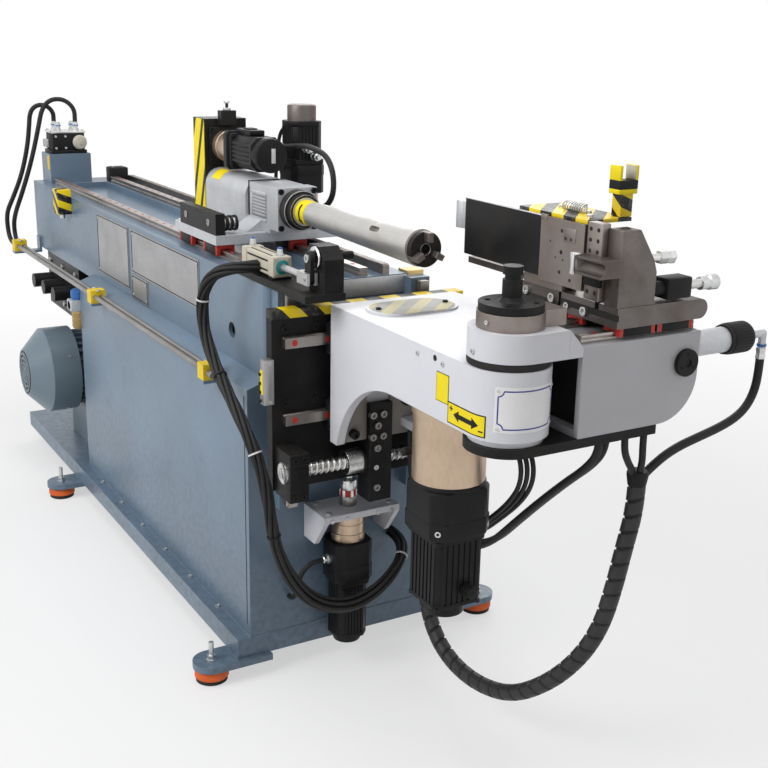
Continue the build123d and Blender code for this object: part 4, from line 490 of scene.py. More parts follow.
def growHeads():
    sockets = {"Points": "Geometry", "Sides": "Int", "Height": "Float", "Socket": "Float", "Depth": "Float"}
    tree, given = newTree("heads", sockets)
    post = {"Vertices": given["Sides"], "Radius": 1.0, "Depth": given["Height"]}
    post = grow(tree, "GeometryNodeMeshCylinder", {"fill_type": "NGON"}, post).outputs
    rim = {"Mesh": post["Mesh"], "Selection": post["Top"], "Offset Scale": 0.0, "Individual": False}
    rim = grow(tree, "GeometryNodeExtrudeMesh", {}, rim).outputs
    inner = {"Geometry": rim["Mesh"], "Selection": rim["Top"], "Scale": given["Socket"]}
    inner = flow(tree, "GeometryNodeScaleElements", inner)
    down = flow(tree, "ShaderNodeMath", {0: given["Depth"], 1: -1.0}, operation="MULTIPLY")
    well = {"Mesh": inner, "Selection": rim["Top"], "Offset Scale": down, "Individual": False}
    well = flow(tree, "GeometryNodeExtrudeMesh", well)
    turn = aligned(tree, {"Vector": mark(tree, "facing")}, axis="Z")
    return scatter(tree, given, well, {"Rotation": turn, "Scale": mark(tree, "size", "FLOAT")})


def growBlocks():
    tree, given = newTree("blocks", {"Points": "Geometry", "Size": "Vector"})
    bar = flow(tree, "GeometryNodeMeshCube", {"Size": given["Size"]})
    turn = aligned(tree, {"Vector": mark(tree, "facing")}, axis="Z")
    turn = aligned(tree, {"Rotation": turn, "Vector": mark(tree, "along")}, axis="X", pivot_axis="Z")
    return scatter(tree, given, bar, {"Rotation": turn})


def growBeads():
    tree, given = newTree("beads", {"Points": "Geometry", "Radius": "Float"})
    bead = flow(tree, "GeometryNodeMeshUVSphere", {"Segments": 8, "Rings": 5, "Radius": given["Radius"]})
    limits = {2: 0.75, 3: 1.2, "Seed": 7}
    uneven = grow(tree, "FunctionNodeRandomValue", {"data_type": "FLOAT"}, limits).outputs[1]
    return scatter(tree, given, bead, {"Scale": uneven})


def growThread():
    sockets = {"Points": "Geometry", "Radius": "Float", "Turns": "Float", "Length": "Float", "Wire": "Float"}
    tree, given = newTree("thread", sockets | {"Place": "Vector", "Turn": "Vector"})
    coil = {"Resolution": 20, "Rotations": given["Turns"], "Height": given["Length"]}
    coil |= {"Start Radius": given["Radius"], "End Radius": given["Radius"]}
    coil = flow(tree, "GeometryNodeCurveSpiral", coil)
    section = flow(tree, "GeometryNodeCurvePrimitiveCircle", {"Resolution": 6, "Radius": given["Wire"]})
    solid = {"Curve": coil, "Profile Curve": section, "Fill Caps": True}
    solid = flow(tree, "GeometryNodeCurveToMesh", solid)
    moved = {"Geometry": solid, "Translation": given["Place"], "Rotation": given["Turn"]}
    return closeTree(tree, flow(tree, "GeometryNodeTransform", moved), given["Finish"])


headTree = growHeads()
blockTree = growBlocks()
beadTree = growBeads()
threadTree = growThread()


def pattern(name, tree, sizes, body, points=((0, 0, 0),), marks=None):
    data = bpy.data.meshes.new(name + "Points")
    data.from_pydata(points, [], [])
    for label, values in (marks or {}).items():
        if isinstance(values[0], float):
            data.attributes.new(label, "FLOAT", "POINT").data.foreach_set("value", values)
        else:
            flat = [part for value in values for part in value]
            data.attributes.new(label, "FLOAT_VECTOR", "POINT").data.foreach_set("vector", flat)
    carrier = bpy.data.objects.new(name + "Carrier", data)
    bpy.context.collection.objects.link(carrier)
    modifier = carrier.modifiers.new("pattern", "NODES")
    modifier.node_group = tree
    for item in tree.interface.items_tree:
        if item.in_out == "INPUT" and item.name in sizes:
            modifier[item.identifier] = sizes[item.name]
    mesh = plainMesh(carrier)
    bpy.data.objects.remove(carrier)
    mesh.set_sharp_from_angle(angle=sharpAngle)
    settle(bpy.data.objects.new(name, mesh), body)


# Heads are given as (x, y, z, facing, radius) in machine millimetres, and their other sizes in radii
def screws(name, body, points, slot="zinc", finish=zinc, sides=20, height=1.4, socket=0.55, depth=0.5):
    sizes = {"Sides": sides, "Height": height, "Socket": socket, "Depth": depth, "Finish": finish}
    marks = {"facing": [tuple(point[3]) for point in points], "size": [point[4] * mm for point in points]}
    pattern(name, headTree, sizes, body, [at(*point[:3]) for point in points], marks)


def grid(xs, ys, zs, facing, radius):
    return [(*spot, facing, radius) for spot in spots(xs, ys, zs)]


# Kinds of head that differ from a zinc socket screw
blackScrew = {"slot": "black_steel", "finish": blackOxide}
hexBolt = {"sides": 6, "height": 0.9, "socket": 0.6, "depth": 0.2}
roundHead = {"sides": 16, "height": 1.2, "socket": 0.5, "depth": 0.5}
lowHead = {"sides": 16, "height": 1, "socket": 0.5, "depth": 0.4}
pinHead = {"sides": 20, "height": 0.9, "socket": 0.5, "depth": 0.4}
rivetHead = {"sides": 16, "height": 0.8, "socket": 0.4, "depth": 0.1}
plugCap = {"slot": "clamp_yellow", "finish": redSeal}
plugCap |= {"sides": 16, "height": 0.16, "socket": 0.7, "depth": 0.06}
# Holes: a thin dark disc with a shallow well, whose colour paints the shade inside the hole
holeShade = {"slot": "black_steel", "finish": rubber, "height": 0.12, "socket": 0.8, "depth": 0.05}


# Bars are given as (place, facing, along), with one size as length, width and thickness
def bars(name, body, finish, points, size):
    sizes = {"Size": [part * mm for part in size], "Finish": finish}
    marks = {"facing": [tuple(point[1]) for point in points], "along": [tuple(point[2]) for point in points]}
    pattern(name, blockTree, sizes, body, [at(*point[0]) for point in points], marks)


def welds(name, body, slot, finish, lines, pitch, radius):
    points = []
    for first, second in lines:
        count = max(2, int((Vector(second) - Vector(first)).length / pitch))
        points += [at(*Vector(first).lerp(Vector(second), index / count)) for index in range(count + 1)]
    pattern(name, beadTree, {"Radius": radius * mm, "Finish": finish}, body, points)


def thread(name, body, finish, start, axis, length, pitch, radius, wire):
    turn = alongZ.rotation_difference(Vector(axis)).to_euler()
    sizes = {"Radius": radius * mm, "Turns": length / pitch, "Length": length * mm, "Wire": wire * mm}
    sizes |= {"Place": at(*start), "Turn": tuple(turn), "Finish": finish}
    pattern(name, threadTree, sizes, body)


# Camera at the photograph's place, with the lens for a square image
def placeCamera():
    sizes = {"place": (2.947, -1.373, 1.5), "lens": 55.378, "sensor": 36}
    sizes |= {"pitch": 16.797, "yaw": 30.354, "roll": -1.138}
    pitch, yaw, roll = [math.radians(sizes[key]) for key in ("pitch", "yaw", "roll")]
    level = Vector((-math.cos(yaw), math.sin(yaw), 0))
    forward = level * math.cos(pitch) - alongZ * math.sin(pitch)
    right = forward.cross(alongZ).normalized()
    down = forward.cross(right)
    tiltRight = right * math.cos(roll) + down * math.sin(roll)
    tiltDown = down * math.cos(roll) - right * math.sin(roll)
    lens = bpy.data.cameras.new("camera")
    lens.lens = sizes["lens"]
    lens.sensor_width = sizes["sensor"]
    viewer = bpy.data.objects.new("camera", lens)
    turnOut = Matrix((tiltRight, -tiltDown, -forward)).transposed()
    viewer.matrix_world = Matrix.Translation(sizes["place"]) @ turnOut.to_4x4()
    bpy.context.collection.objects.link(viewer)
    bpy.context.scene.camera = viewer


placeCamera()
print("camera placed")


# Cords: each is one NURBS spline, on or near the route of its CAD tube
def routeCurve(name, route):
    data = bpy.data.curves.new(name, "CURVE")
    data.dimensions = "3D"
    data.resolution_u = 14
    spline = data.splines.new("NURBS")
    spline.points.add(len(route) - 1)
    for point, spot in zip(spline.points, route):
        point.co = (*spot, 1)
    spline.order_u = 3
    spline.use_endpoint_u = True
    return bpy.data.objects.new(name, data)


def pathOf(route):
    line = routeCurve("line", route)
    bpy.context.collection.objects.link(line)
    data = plainMesh(line)
    path = [vertex.co.copy() for vertex in data.vertices]
    bpy.data.objects.remove(line)
    bpy.data.meshes.remove(data)
    return path


def resample(path, step):
    lengths = [0.0]
    for first, second in zip(path, path[1:]):
        lengths.append(lengths[-1] + (second - first).length)
    count = max(2, round(lengths[-1] / step))
    found = []
    index = 0
    for number in range(count + 1):
        goal = lengths[-1] * number / count
        while index < len(path) - 2 and lengths[index + 1] < goal:
            index += 1
        share = (goal - lengths[index]) / (lengths[index + 1] - lengths[index])
        found.append(path[index].lerp(path[index + 1], share))
    return found


def frames(path):
    turns = []
    side = None
    for index, spot in enumerate(path):
        ahead = (path[min(index + 1, len(path) - 1)] - path[max(index - 1, 0)]).normalized()
        side = ahead.orthogonal() if side is None else side - ahead * side.dot(ahead)
        side.normalize()
        turns.append((spot, side.copy(), ahead.cross(side)))
    return turns


# Radius and centre may change along the path: gone is the length so far, turn the angle round it
def tubeSolid(path, radiusAt, sides, centreAt=None):
    rings = []
    gone = 0.0
    for index, (spot, side, across) in enumerate(frames(path)):
        gone += (spot - path[index - 1]).length if index else 0.0
        if centreAt:
            shift = centreAt(gone)
            spot = spot + side * shift[0] + across * shift[1]
        ring = []
        for step in range(sides):
            turn = fullTurn * step / sides
            facing = side * math.cos(turn) + across * math.sin(turn)
            ring.append(spot + facing * radiusAt(gone, turn))
        rings.append(ring)
    return loftSolid(rings)


def plainCord(name, route, length, radius, body, node, stiffness="medium"):
    piece = routeCurve(name, route)
    piece.data.bevel_depth = radius
    piece.data.bevel_resolution = 4
    piece.data.use_fill_caps = True
    piece.data.materials.append(hoseBlack)
    settle(piece, body, (node,))


def meshCord(shape, node, body=None):
    piece = shape.done(body, "hose_black", node)
    return piece


bundleRoute = [
    (1.34, 0.144, 0.655), (1.34, 0.144, 0.6), (1.338, 0.127, 0.525), (1.333, 0.115, 0.445),
    (1.32, 0.101, 0.35), (1.288, 0.078, 0.266), (1.232, 0.046, 0.188), (1.138, 0.024, 0.114),
    (1.031, 0.01, 0.088), (0.927, 0.005, 0.094), (0.851, 0.003, 0.136), (0.811, 0.002, 0.215),
    (0.803, 0.001, 0.32), (0.804, -0.001, 0.44), (0.806, -0.002, 0.545), (0.806, -0.002, 0.64),
]
returnRoute = [
    (1.354, 0.028, 0.77), (1.354, 0.028, 0.742), (1.319, 0.028, 0.7), (1.259, 0.029, 0.65),
    (1.179, 0.031, 0.578), (1.099, 0.033, 0.502), (1.025, 0.035, 0.43), (0.949, 0.037, 0.384),
    (0.879, 0.039, 0.392), (0.827, 0.04, 0.45), (0.806, 0.04, 0.54), (0.806, 0.04, 0.64),
]
headCableRoute = [
    (1.159, -0.05, 0.8), (1.159, -0.05, 0.766), (1.187, -0.05, 0.73), (1.223, -0.05, 0.696),
    (1.223, -0.05, 0.646), (1.185, -0.05, 0.594), (1.129, -0.05, 0.542), (1.059, -0.05, 0.482),
    (0.979, -0.05, 0.448), (0.899, -0.05, 0.45), (0.833, -0.05, 0.492), (0.806, -0.05, 0.56),
    (0.806, -0.05, 0.64),
]
clampHoseRoute = [
    (1.309, 0.483, 0.862), (1.309, 0.483, 0.832), (1.31, 0.477, 0.795), (1.313, 0.456, 0.764),
    (1.319, 0.421, 0.746), (1.325, 0.371, 0.734), (1.33, 0.312, 0.725), (1.333, 0.25, 0.714),
    (1.337, 0.195, 0.695), (1.34, 0.154, 0.669),
]
leftDropRoute = [
    (1.357, 0.088, 0.77), (1.357, 0.088, 0.742), (1.351, 0.106, 0.712), (1.343, 0.126, 0.69),
    (1.338, 0.137, 0.666),
]
rightDropRoute = [
    (1.359, 0.133, 0.77), (1.359, 0.133, 0.742), (1.355, 0.139, 0.712), (1.349, 0.141, 0.686),
    (1.345, 0.142, 0.664),
]
airRoute = [
    (0.559, -0.307, 0.985), (0.559, -0.338, 0.985), (0.539, -0.374, 0.98), (0.507, -0.396, 0.962),
    (0.479, -0.406, 0.922), (0.471, -0.408, 0.872), (0.489, -0.408, 0.818), (0.537, -0.408, 0.77),
    (0.599, -0.408, 0.728), (0.659, -0.407, 0.69), (0.711, -0.4, 0.64), (0.745, -0.388, 0.578),
    (0.758, -0.378, 0.51), (0.758, -0.369, 0.435), (0.754, -0.351, 0.368), (0.753, -0.322, 0.302),
    (0.753, -0.278, 0.244), (0.753, -0.222, 0.21), (0.753, -0.16, 0.2), (0.751, -0.098, 0.218),
    (0.739, -0.042, 0.252), (0.709, 0.002, 0.285), (0.659, 0.018, 0.3), (0.619, 0.018, 0.3),
]
motorRoute = [
    (0.671, -0.181, 0.29), (0.671, -0.203, 0.29), (0.67, -0.232, 0.287), (0.667, -0.254, 0.265),
    (0.664, -0.26, 0.236), (0.657, -0.262, 0.21), (0.636, -0.262, 0.188), (0.619, -0.262, 0.188),
]
nearHoseRoute = [
    (-1.2922, -0.1782, 1.16), (-1.2922, -0.1782, 1.163), (-1.2922, -0.1782, 1.206), (-1.303, -0.209, 1.237),
    (-1.318, -0.253, 1.237), (-1.328, -0.283, 1.205), (-1.331, -0.298, 1.14), (-1.335, -0.33, 1.02),
    (-1.35, -0.365, 0.912), (-1.384, -0.38, 0.852), (-1.422, -0.381, 0.815), (-1.441, -0.381, 0.787),
    (-1.441, -0.38, 0.75), (-1.416, -0.38, 0.727), (-1.383, -0.38, 0.727), (-1.381, -0.38, 0.727),
]
farHoseRoute = [
    (-1.3397, -0.2407, 1.16), (-1.3397, -0.2407, 1.162), (-1.3397, -0.2407, 1.192), (-1.347, -0.263, 1.215),
    (-1.358, -0.294, 1.215), (-1.366, -0.316, 1.191), (-1.367, -0.322, 1.135), (-1.368, -0.333, 1.065),
    (-1.373, -0.358, 0.97), (-1.391, -0.389, 0.89), (-1.419, -0.404, 0.844), (-1.443, -0.404, 0.81),
    (-1.449, -0.402, 0.772), (-1.44, -0.4, 0.742), (-1.412, -0.398, 0.727), (-1.381, -0.398, 0.727),
]
servoRoute = [
    (0.139, -0.072, 1.2), (0.139, -0.07, 1.2), (0.139, -0.0405, 1.2), (0.161, -0.0185, 1.203),
    (0.193, -0.0185, 1.206), (0.245, -0.029, 1.211), (0.31, -0.042, 1.211), (0.382, -0.045, 1.203),
    (0.422, -0.046, 1.166), (0.424, -0.046, 1.113), (0.386, -0.046, 1.078), (0.335, -0.044, 1.072),
    (0.285, -0.039, 1.07), (0.24, -0.034, 1.068), (0.198, -0.03, 1.066), (0.169, -0.028, 1.037),
    (0.169, -0.028, 1.01),
]
feedRoute = [
    (0.044, 0.02, 1.24), (0.043, 0.02, 1.24), (0.011, 0.02, 1.24), (-0.012, 0.017, 1.217),
    (-0.012, 0.012, 1.184), (-0.008, 0.005, 1.14), (0.004, -0.003, 1.095), (0.024, -0.015, 1.06),
    (0.033, -0.02, 1.032), (0.033, -0.02, 1.01),
]


def spiralBundle():
    sizes = {"radius": 18 * mm, "core": 14.6 * mm, "groove": 14.2 * mm, "turn": 34 * mm, "gap": 0.17}
    sizes |= {"length": 1.433}
    path = resample(pathOf(bundleRoute), 2 * mm)

    def wrapped(gone, turn):
        phase = (gone / sizes["turn"] - turn / fullTurn) % 1.0
        return sizes["groove"] if phase < sizes["gap"] else sizes["radius"]

    shape = Shape("spiralBundle")
    shape.take(tubeSolid(path, lambda gone, turn: sizes["core"], 20), rubber)
    shape.take(tubeSolid(path, wrapped, 32), wrapBlack)
    piece = meshCord(shape, "head_hoses")
    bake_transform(piece)


def returnHoses():
    sizes = {"radius": 8 * mm, "lengths": (0.903, 0.901), "apart": (-0.010, 0.024), "shoeEnd": 2}
    backwards, sideways = sizes["apart"]
    free = len(returnRoute) - sizes["shoeEnd"]
    for index, length in enumerate(sizes["lengths"]):
        route = []
        for number, spot in enumerate(returnRoute):
            shift = Vector((backwards if number < free else 0, sideways, 0)) * index
            route.append(Vector(spot) + shift)
        path = resample(pathOf(route), 6 * mm)
        shape = Shape(f"returnHose{index + 1}")
        shape.take(tubeSolid(path, lambda gone, turn: sizes["radius"], 16), hoseBlack)
        piece = meshCord(shape, "head_hoses")
        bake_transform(piece)


def headCables():
    sizes = {"radius": 5 * mm, "length": 0.799, "apart": (0.004, 0.012, 0.0), "count": 3}
    for index in range(sizes["count"]):
        route = [Vector(spot) + Vector(sizes["apart"]) * index for spot in headCableRoute]
        plainCord(f"headCable{index + 1}", route, sizes["length"], sizes["radius"], "head", "head_hoses")


# Seven strands, which open like a fan where the bundle hangs free
def airBundle():
    sizes = {"radius": 15 * mm, "strand": 4.8 * mm, "ring": 9.6 * mm, "lay": 0.55, "length": 1.394}
    fan = {"start": 0.8, "end": 1.26, "shares": (0.2, 0.6, 0.4, 0.65, 0.1, 0.5)}
    tie = {"inner": 14.6, "outer": 16, "half": 2, "steps": (26, 54, 84, 112, 184)}
    path = resample(pathOf(airRoute), 7 * mm)
    shape = Shape("airBundle")

    def strand(centre=None):
        shape.take(tubeSolid(path, lambda gone, turn: sizes["strand"], 10, centre), hoseBlack)

    def opened(gone):
        share = (gone - fan["start"]) / (fan["end"] - fan["start"])
        return math.sin(math.pi * min(1.0, max(0.0, share)))

    strand()
    for index, share in enumerate(fan["shares"]):
        start = fullTurn * index / len(fan["shares"])

        def centre(gone, start=start, share=share):
            turn = start + fullTurn * min(gone, fan["start"]) / sizes["lay"]
            reach = sizes["ring"] * (1 + share * opened(gone))
            return reach * math.cos(turn), reach * math.sin(turn)

        strand(centre)
    meshCord(shape, "base_hoses", "frame")
    ties = Shape("bundleTies")
    profile = band(tie["inner"], tie["outer"], -tie["half"], tie["half"])
    for number, step in enumerate(tie["steps"]):
        ahead = (path[step + 1] - path[step - 1]).normalized()
        finish = blackPlastic if number % 2 else whitePlastic
        ties.turned(machine.inverted() @ path[step], ahead, profile, finish, 24)
    ties.done("frame", "black_plastic")


# Plain cords: route, length, radius, the body they ride on, the node they stand for and their stiffness
plainCords = {
    "clampHose": (clampHoseRoute, 0.424, 9 * mm, "arm", "arm_hoses", "stiff"),
    "leftDrop": (leftDropRoute, 0.12, 7 * mm, "arm", "arm_hoses", "stiff"),
    "rightDrop": (rightDropRoute, 0.108, 7 * mm, "arm", "arm_hoses", "stiff"),
    "motorCable": (motorRoute, 0.183, 6 * mm, "frame", "base_hoses"),
    "nearHose": (nearHoseRoute, 0.737, 8 * mm, "frame", "base_hoses", "stiff"),
    "farHose": (farHoseRoute, 0.663, 8 * mm, "frame", "base_hoses", "stiff"),
    "servoCable": (servoRoute, 0.686, 7 * mm, "carriage", "carriage_cables"),
    "feedCable": (feedRoute, 0.281, 5 * mm, "carriage", "carriage_cables"),
}
spiralBundle()
returnHoses()
headCables()
airBundle()
for cordName, details in plainCords.items():
    plainCord(cordName, *details)
print("cords laid")

# CAD nodes that keep their shape and get a finish
nodeFinishes = {
    frameBlue: ("base_skid", "pedestal", "beam"),
    headGrey: ("head_housing", "lift_bracket"),
    pumpGrey: ("pump_motor",),
    blackPaint: ("hydraulic_tank", "belt_guard"),
    brownSteel: ("pressure_plate", "die_seat", "jaw_1", "jaw_2", "jaw_3"),
    darkSteel: ("clamp_bolster", "clamp_die", "pressure_bolster"),
    groundSteel: ("base_rails", "shift_rails", "feed_pinion", "drive_pulley"),
    barrelSteel: ("collet_barrel",),
    zinc: ("foot_studs", "air_rod"),
    pipeSteel: ("hydraulic_pipes",),
    castAlloy: ("rotary_housing", "carriage_plate"),
    plateSilver: ("side_plates",),
    gearGold: ("bend_gearbox",),
    blackOxide: (
        "slide_plate", "drive_bar", "arm_plates", "side_bracket", "support_lever",
        "bend_post", "shelf_plate"),
    wornBlack: ("lift_blocks", "chuck_body"),
    rubber: ("timing_belt",),
    yellowPlastic: ("pipe_clamps",),
}
for nodeFinish, nodeNames in nodeFinishes.items():
    for nodeName in nodeNames:
        for materialSlot in nodes[nodeName].material_slots:
            materialSlot.material = nodeFinish

# Places that several pieces share: the rails, the tube's y and z, the bend axis in x and y,
# the lift screw in x and y, and the shift screw in x and z
feedRailYs = (-192, 6)
liftRailYs = (-205, 135)
shiftRailZs = (675, 849)
pressureRailXs = (480, 560)
clampRailXs = (620, 725)
tubeAxis = (-44, 1074)
spindle = (677, -76)
liftAxis = (52, -60)
shiftAxis = (146, 567)


# Servo drives: gearbox, adaptor, ribbed body and cap, from the gearbox end outwards
# Sizes are (radius, length) for gear and cap, and (half width, corner, length) for adaptor and motor
def servo(name, body, start, axis, sizes, node):
    local = Matrix.Translation(start) @ turnTo(axis)
    turn = local.to_3x3()
    shape = Shape(name, machine @ local)
    gearRadius, gearLength = sizes["gear"]
    if gearLength:
        steps = [(0, 0), (0.3, 0), (0.31, -1.5), (0.36, -1.5), (0.37, 0)]
        steps += [(0.7, 0), (0.71, 2), (0.98, 2), (1, 0)]
        profile = [(share * gearLength, gearRadius + step) for share, step in steps]
        shape.turned((0, 0, 0), alongZ, profile, gearGold, 48)
    half, corner, length = sizes["adaptor"]
    top = gearLength + length
    seam = gearLength + 0.62 * length  # where the adaptor's two halves meet
    shoulder = sizes.get("shoulder", 2)
    shape.prism(octagon(half, corner), 2, (gearLength, top), servoBlack, shoulder)
    shape.prism(octagon(half + 0.8, corner), 2, (seam, top - shoulder), servoBlack, 0.5)
    half, corner, length = sizes["motor"]
    end = top + length
    low, high = top + sizes["flange"], end - sizes["flange"]
    shape.prism(octagon(half, 6), 2, (top, low), servoBlack, 1.5)
    shape.prism(octagon(half - 4, corner), 2, (low, high), servoBlack, 1)
    shape.prism(octagon(half - 1, corner + 4), 2, (high, end), servoBlack, 2)
    radius, length = sizes["cap"]
    rim = [(0, radius), (length - 5, radius), (length - 1.5, radius - 1.5), (length, radius - 5)]
    shape.turned((0, 0, end), alongZ, rim, sizes["capFinish"], 48)
    shape.done(body, "servo_black", node)
    ribs = []
    reach = half - corner - 8
    for quarter in range(4):
        side = Matrix.Rotation(fullTurn / 4 * quarter, 3, "Z")
        for across in evenly(-reach, reach, half / 4):
            spot = local @ (side @ Vector((half - 4, across, (top + end) / 2)))
            ribs.append((spot, turn @ (side @ alongX), turn @ alongZ))
    bars(name + "Ribs", body, servoBlack, ribs, (high - low, half / 7, 4))
    reach = half - 9
    levels = (low, end) if radius < reach else (low,)
    corners = [(x, y, level) for level in levels for x in (-reach, reach) for y in (-reach, reach)]
    heads = [(*(local @ Vector(spot)), turn @ alongZ, 5) for spot in corners]
    screws(name + "Screws", body, heads, "servo_black", blackOxide, 16)


# Runner blocks of the linear guides: a U section with end seals, red unless the sizes say otherwise
def runners(shape, middles, along, up, sizes):
    half, gap, depth, height = sizes["width"] / 2, sizes["gap"], sizes["depth"], sizes["height"]
    outline = [(-half, 0), (-gap, 0), (-gap, depth), (gap, depth)]
    outline += [(gap, 0), (half, 0), (half, height), (-half, height)]
    end = sizes["length"] / 2
    seal = end - sizes["seal"]
    sealFinish = sizes.get("sealFinish", redSeal)
    turn = Matrix((along, up.cross(along), up)).transposed().to_4x4()
    for middle in middles:
        shape.place = machine @ Matrix.Translation(middle) @ turn
        shape.prism(outline, 0, (-seal, seal), blackOxide, 1)
        for side in (-1, 1):
            shape.prism(outline, 0, (side * seal, side * end), sealFinish, 1.5)
    shape.place = machine


# A guide rail's section, narrower at its middle level
def railSection(x, half, waist, levels):
    right = [(x + out, level) for out, level in zip((half, half, waist, half, half), levels)]
    return right + [(2 * x - across, level) for across, level in right[::-1]]


# Levelling feet: a rubber pad under an orange cap
def feet():
    sizes = {"xs": (-32, -1333), "ys": (-380, 380), "pad": 38, "cap": 41, "joint": 12, "top": 36}
    padRadius, capRadius, joint, top = [sizes[key] for key in ("pad", "cap", "joint", "top")]
    pad = [(0, padRadius - 3), (2, padRadius), (joint, padRadius)]
    cap = [(joint, capRadius - 1.5), (joint + 1.5, capRadius), (25, capRadius)]
    cap += [(top - 4, capRadius - 4), (top, 24)]
    shape = Shape("footMounts")
    for spot in spots(sizes["xs"], sizes["ys"], (0,)):
        shape.turned(spot, alongZ, pad, rubber, 40)
        shape.turned(spot, alongZ, cap, orangeCap, 40)
    shape.done("frame", "mount_orange", "foot_mounts")


# Frame: weld seams, rail plugs, rack teeth, bolts and the small plates on the beam
def frameTrim():
    sizes = {
        "wall": 292, "rear": -1305, "skidTop": 102, "beads": (5, 3.2),
        "beamSide": -242, "beamFoot": 720, "beamSeam": (-1290, -20),
        "cornerGap": ((-19, -16.5), (-292.6, -291), (130, 700)),
        "frontPlate": ((0, 1.2), (-148, 118), (906, 948)),
        "riserLabel": ((-1914, -1888), (-210.8, -209.8), (998, 1046)),
        "holeRim": (-198, -242.6, 807), "plug": 5.2, "plugPitch": 60, "railTop": 970, "liftRailFace": 54,
        "rack": (66.5, 972), "tooth": (17, 5.5, 4), "toothPitch": 12,
        "bracketBolts": (-1940, -1970, -1020, -1060, -140, -180),
    }
    wall, rear, skidTop = sizes["wall"], sizes["rear"], sizes["skidTop"]
    side, foot = sizes["beamSide"], sizes["beamFoot"]
    seamRear, seamFront = sizes["beamSeam"]
    seams = [((rear, -wall, skidTop), (0, -wall, skidTop)), ((0, -wall, skidTop), (0, wall, skidTop))]
    seams += [((rear, wall, skidTop), (0, wall, skidTop)), ((seamRear, side, foot), (seamFront, side, foot))]
    welds("seamWelds", "frame", "frame_paint", frameBlue, seams, *sizes["beads"])
    shape = Shape("frameTrim")
    shape.box(*sizes["cornerGap"], rubber)
    shape.box(*sizes["frontPlate"], castAlloy, 0.5)
    shape.box(*sizes["riserLabel"], yellowPlastic, 0.3)
    shape.turned(sizes["holeRim"], alongY, band(19, 21.5, 0, 3), frameBlue, 40)
    shape.done("frame", "frame_paint")
    plug, pitch, railTop = sizes["plug"], sizes["plugPitch"], sizes["railTop"]
    plugs = grid(spaced(-1860, -190, pitch), feedRailYs[:1], (railTop,), alongZ, plug)
    plugs += grid(spaced(-1840, -20, pitch), feedRailYs[1:], (railTop,), alongZ, plug)
    plugs += grid((sizes["liftRailFace"],), liftRailYs, spaced(445, 935, pitch), alongX, plug)
    screws("railPlugs", "frame", plugs, **plugCap)
    teeth = [((x, *sizes["rack"]), alongZ, alongY) for x in spaced(-1848, -10, sizes["toothPitch"])]
    bars("rackTeeth", "frame", groundSteel, teeth, sizes["tooth"])
    bolts = grid(sizes["bracketBolts"], (-317,), (746,), alongZ, 5)
    bolts += grid(spaced(-1300, -20, 190), (-300,), (skidTop,), alongZ, 7)
    screws("frameBolts", "frame", bolts, **hexBolt)


# Plates on the beam's side: their border lines and rivets
def sidePlates():
    sizes = {"face": -244.0, "edge": 5.0, "line": 2.2, "proud": 0.7, "rivet": 3.5, "rivetEdge": 12}
    plates = ((-1243, -947, 757, 938), (-921, -400, 813, 938), (-927, -791, 738, 808))
    edge, half, inset = sizes["edge"], sizes["line"] / 2, sizes["rivetEdge"]
    face = (sizes["face"] - sizes["proud"], sizes["face"] + 0.3)
    shape = Shape("plateBorders")
    rivets = []
    for rear, front, bottom, top in plates:
        left, right, low, high = rear + edge, front - edge, bottom + edge, top - edge
        for level in (low, high):
            shape.box((left, right), face, (level - half, level + half), blackPlastic)
        for across in (left, right):
            shape.box((across - half, across + half), face, (low, high), blackPlastic)
        xs, zs = (rear + inset, front - inset), (bottom + inset, top - inset)
        rivets += grid(xs, (sizes["face"],), zs, -alongY, sizes["rivet"])
    shape.done("frame", "plate_silver")
    screws("plateRivets", "frame", rivets, **rivetHead)


# Limit switches: striped box at the rear, black box on the far rail, brass block at the front
def switches():
    sizes = {
        "rearBox": ((-1580, -1520), (-287, -242), (895, 975)),
        "railBox": ((-1905, -1850), (-5, 60), (950, 1000)),
        "railLid": ((-1898, -1857), (2, 53), (1000, 1001.5)),
        "brassBlock": ((-43, 0), (120, 165), (905, 955)),
        "gland": (-1550, -266, 880), "button": (0, 142, 932),
    }
    shape = Shape("switchBoxes")
    shape.box(*sizes["rearBox"], hazardBox, 2)
    shape.rod(sizes["gland"], alongZ, 16, 9, zinc, 6)
    shape.box(*sizes["railBox"], blackPlastic, 3)
    shape.box(*sizes["railLid"], blackOxide, 0.6)
    shape.box(*sizes["brassBlock"], brass, 1.5)
    shape.turned(sizes["button"], alongX, [(0, 6), (1.2, 6), (1.6, 4.5)], redSeal, 24)
    shape.done("frame", "black_plastic", "limit_switches")
    heads = grid((-1892, -1863), (8, 47), (1001,), alongZ, 3.2)
    heads += grid((-1572, -1528), (-287,), (903, 967), -alongY, 3)
    screws("switchScrews", "frame", heads, **lowHead)


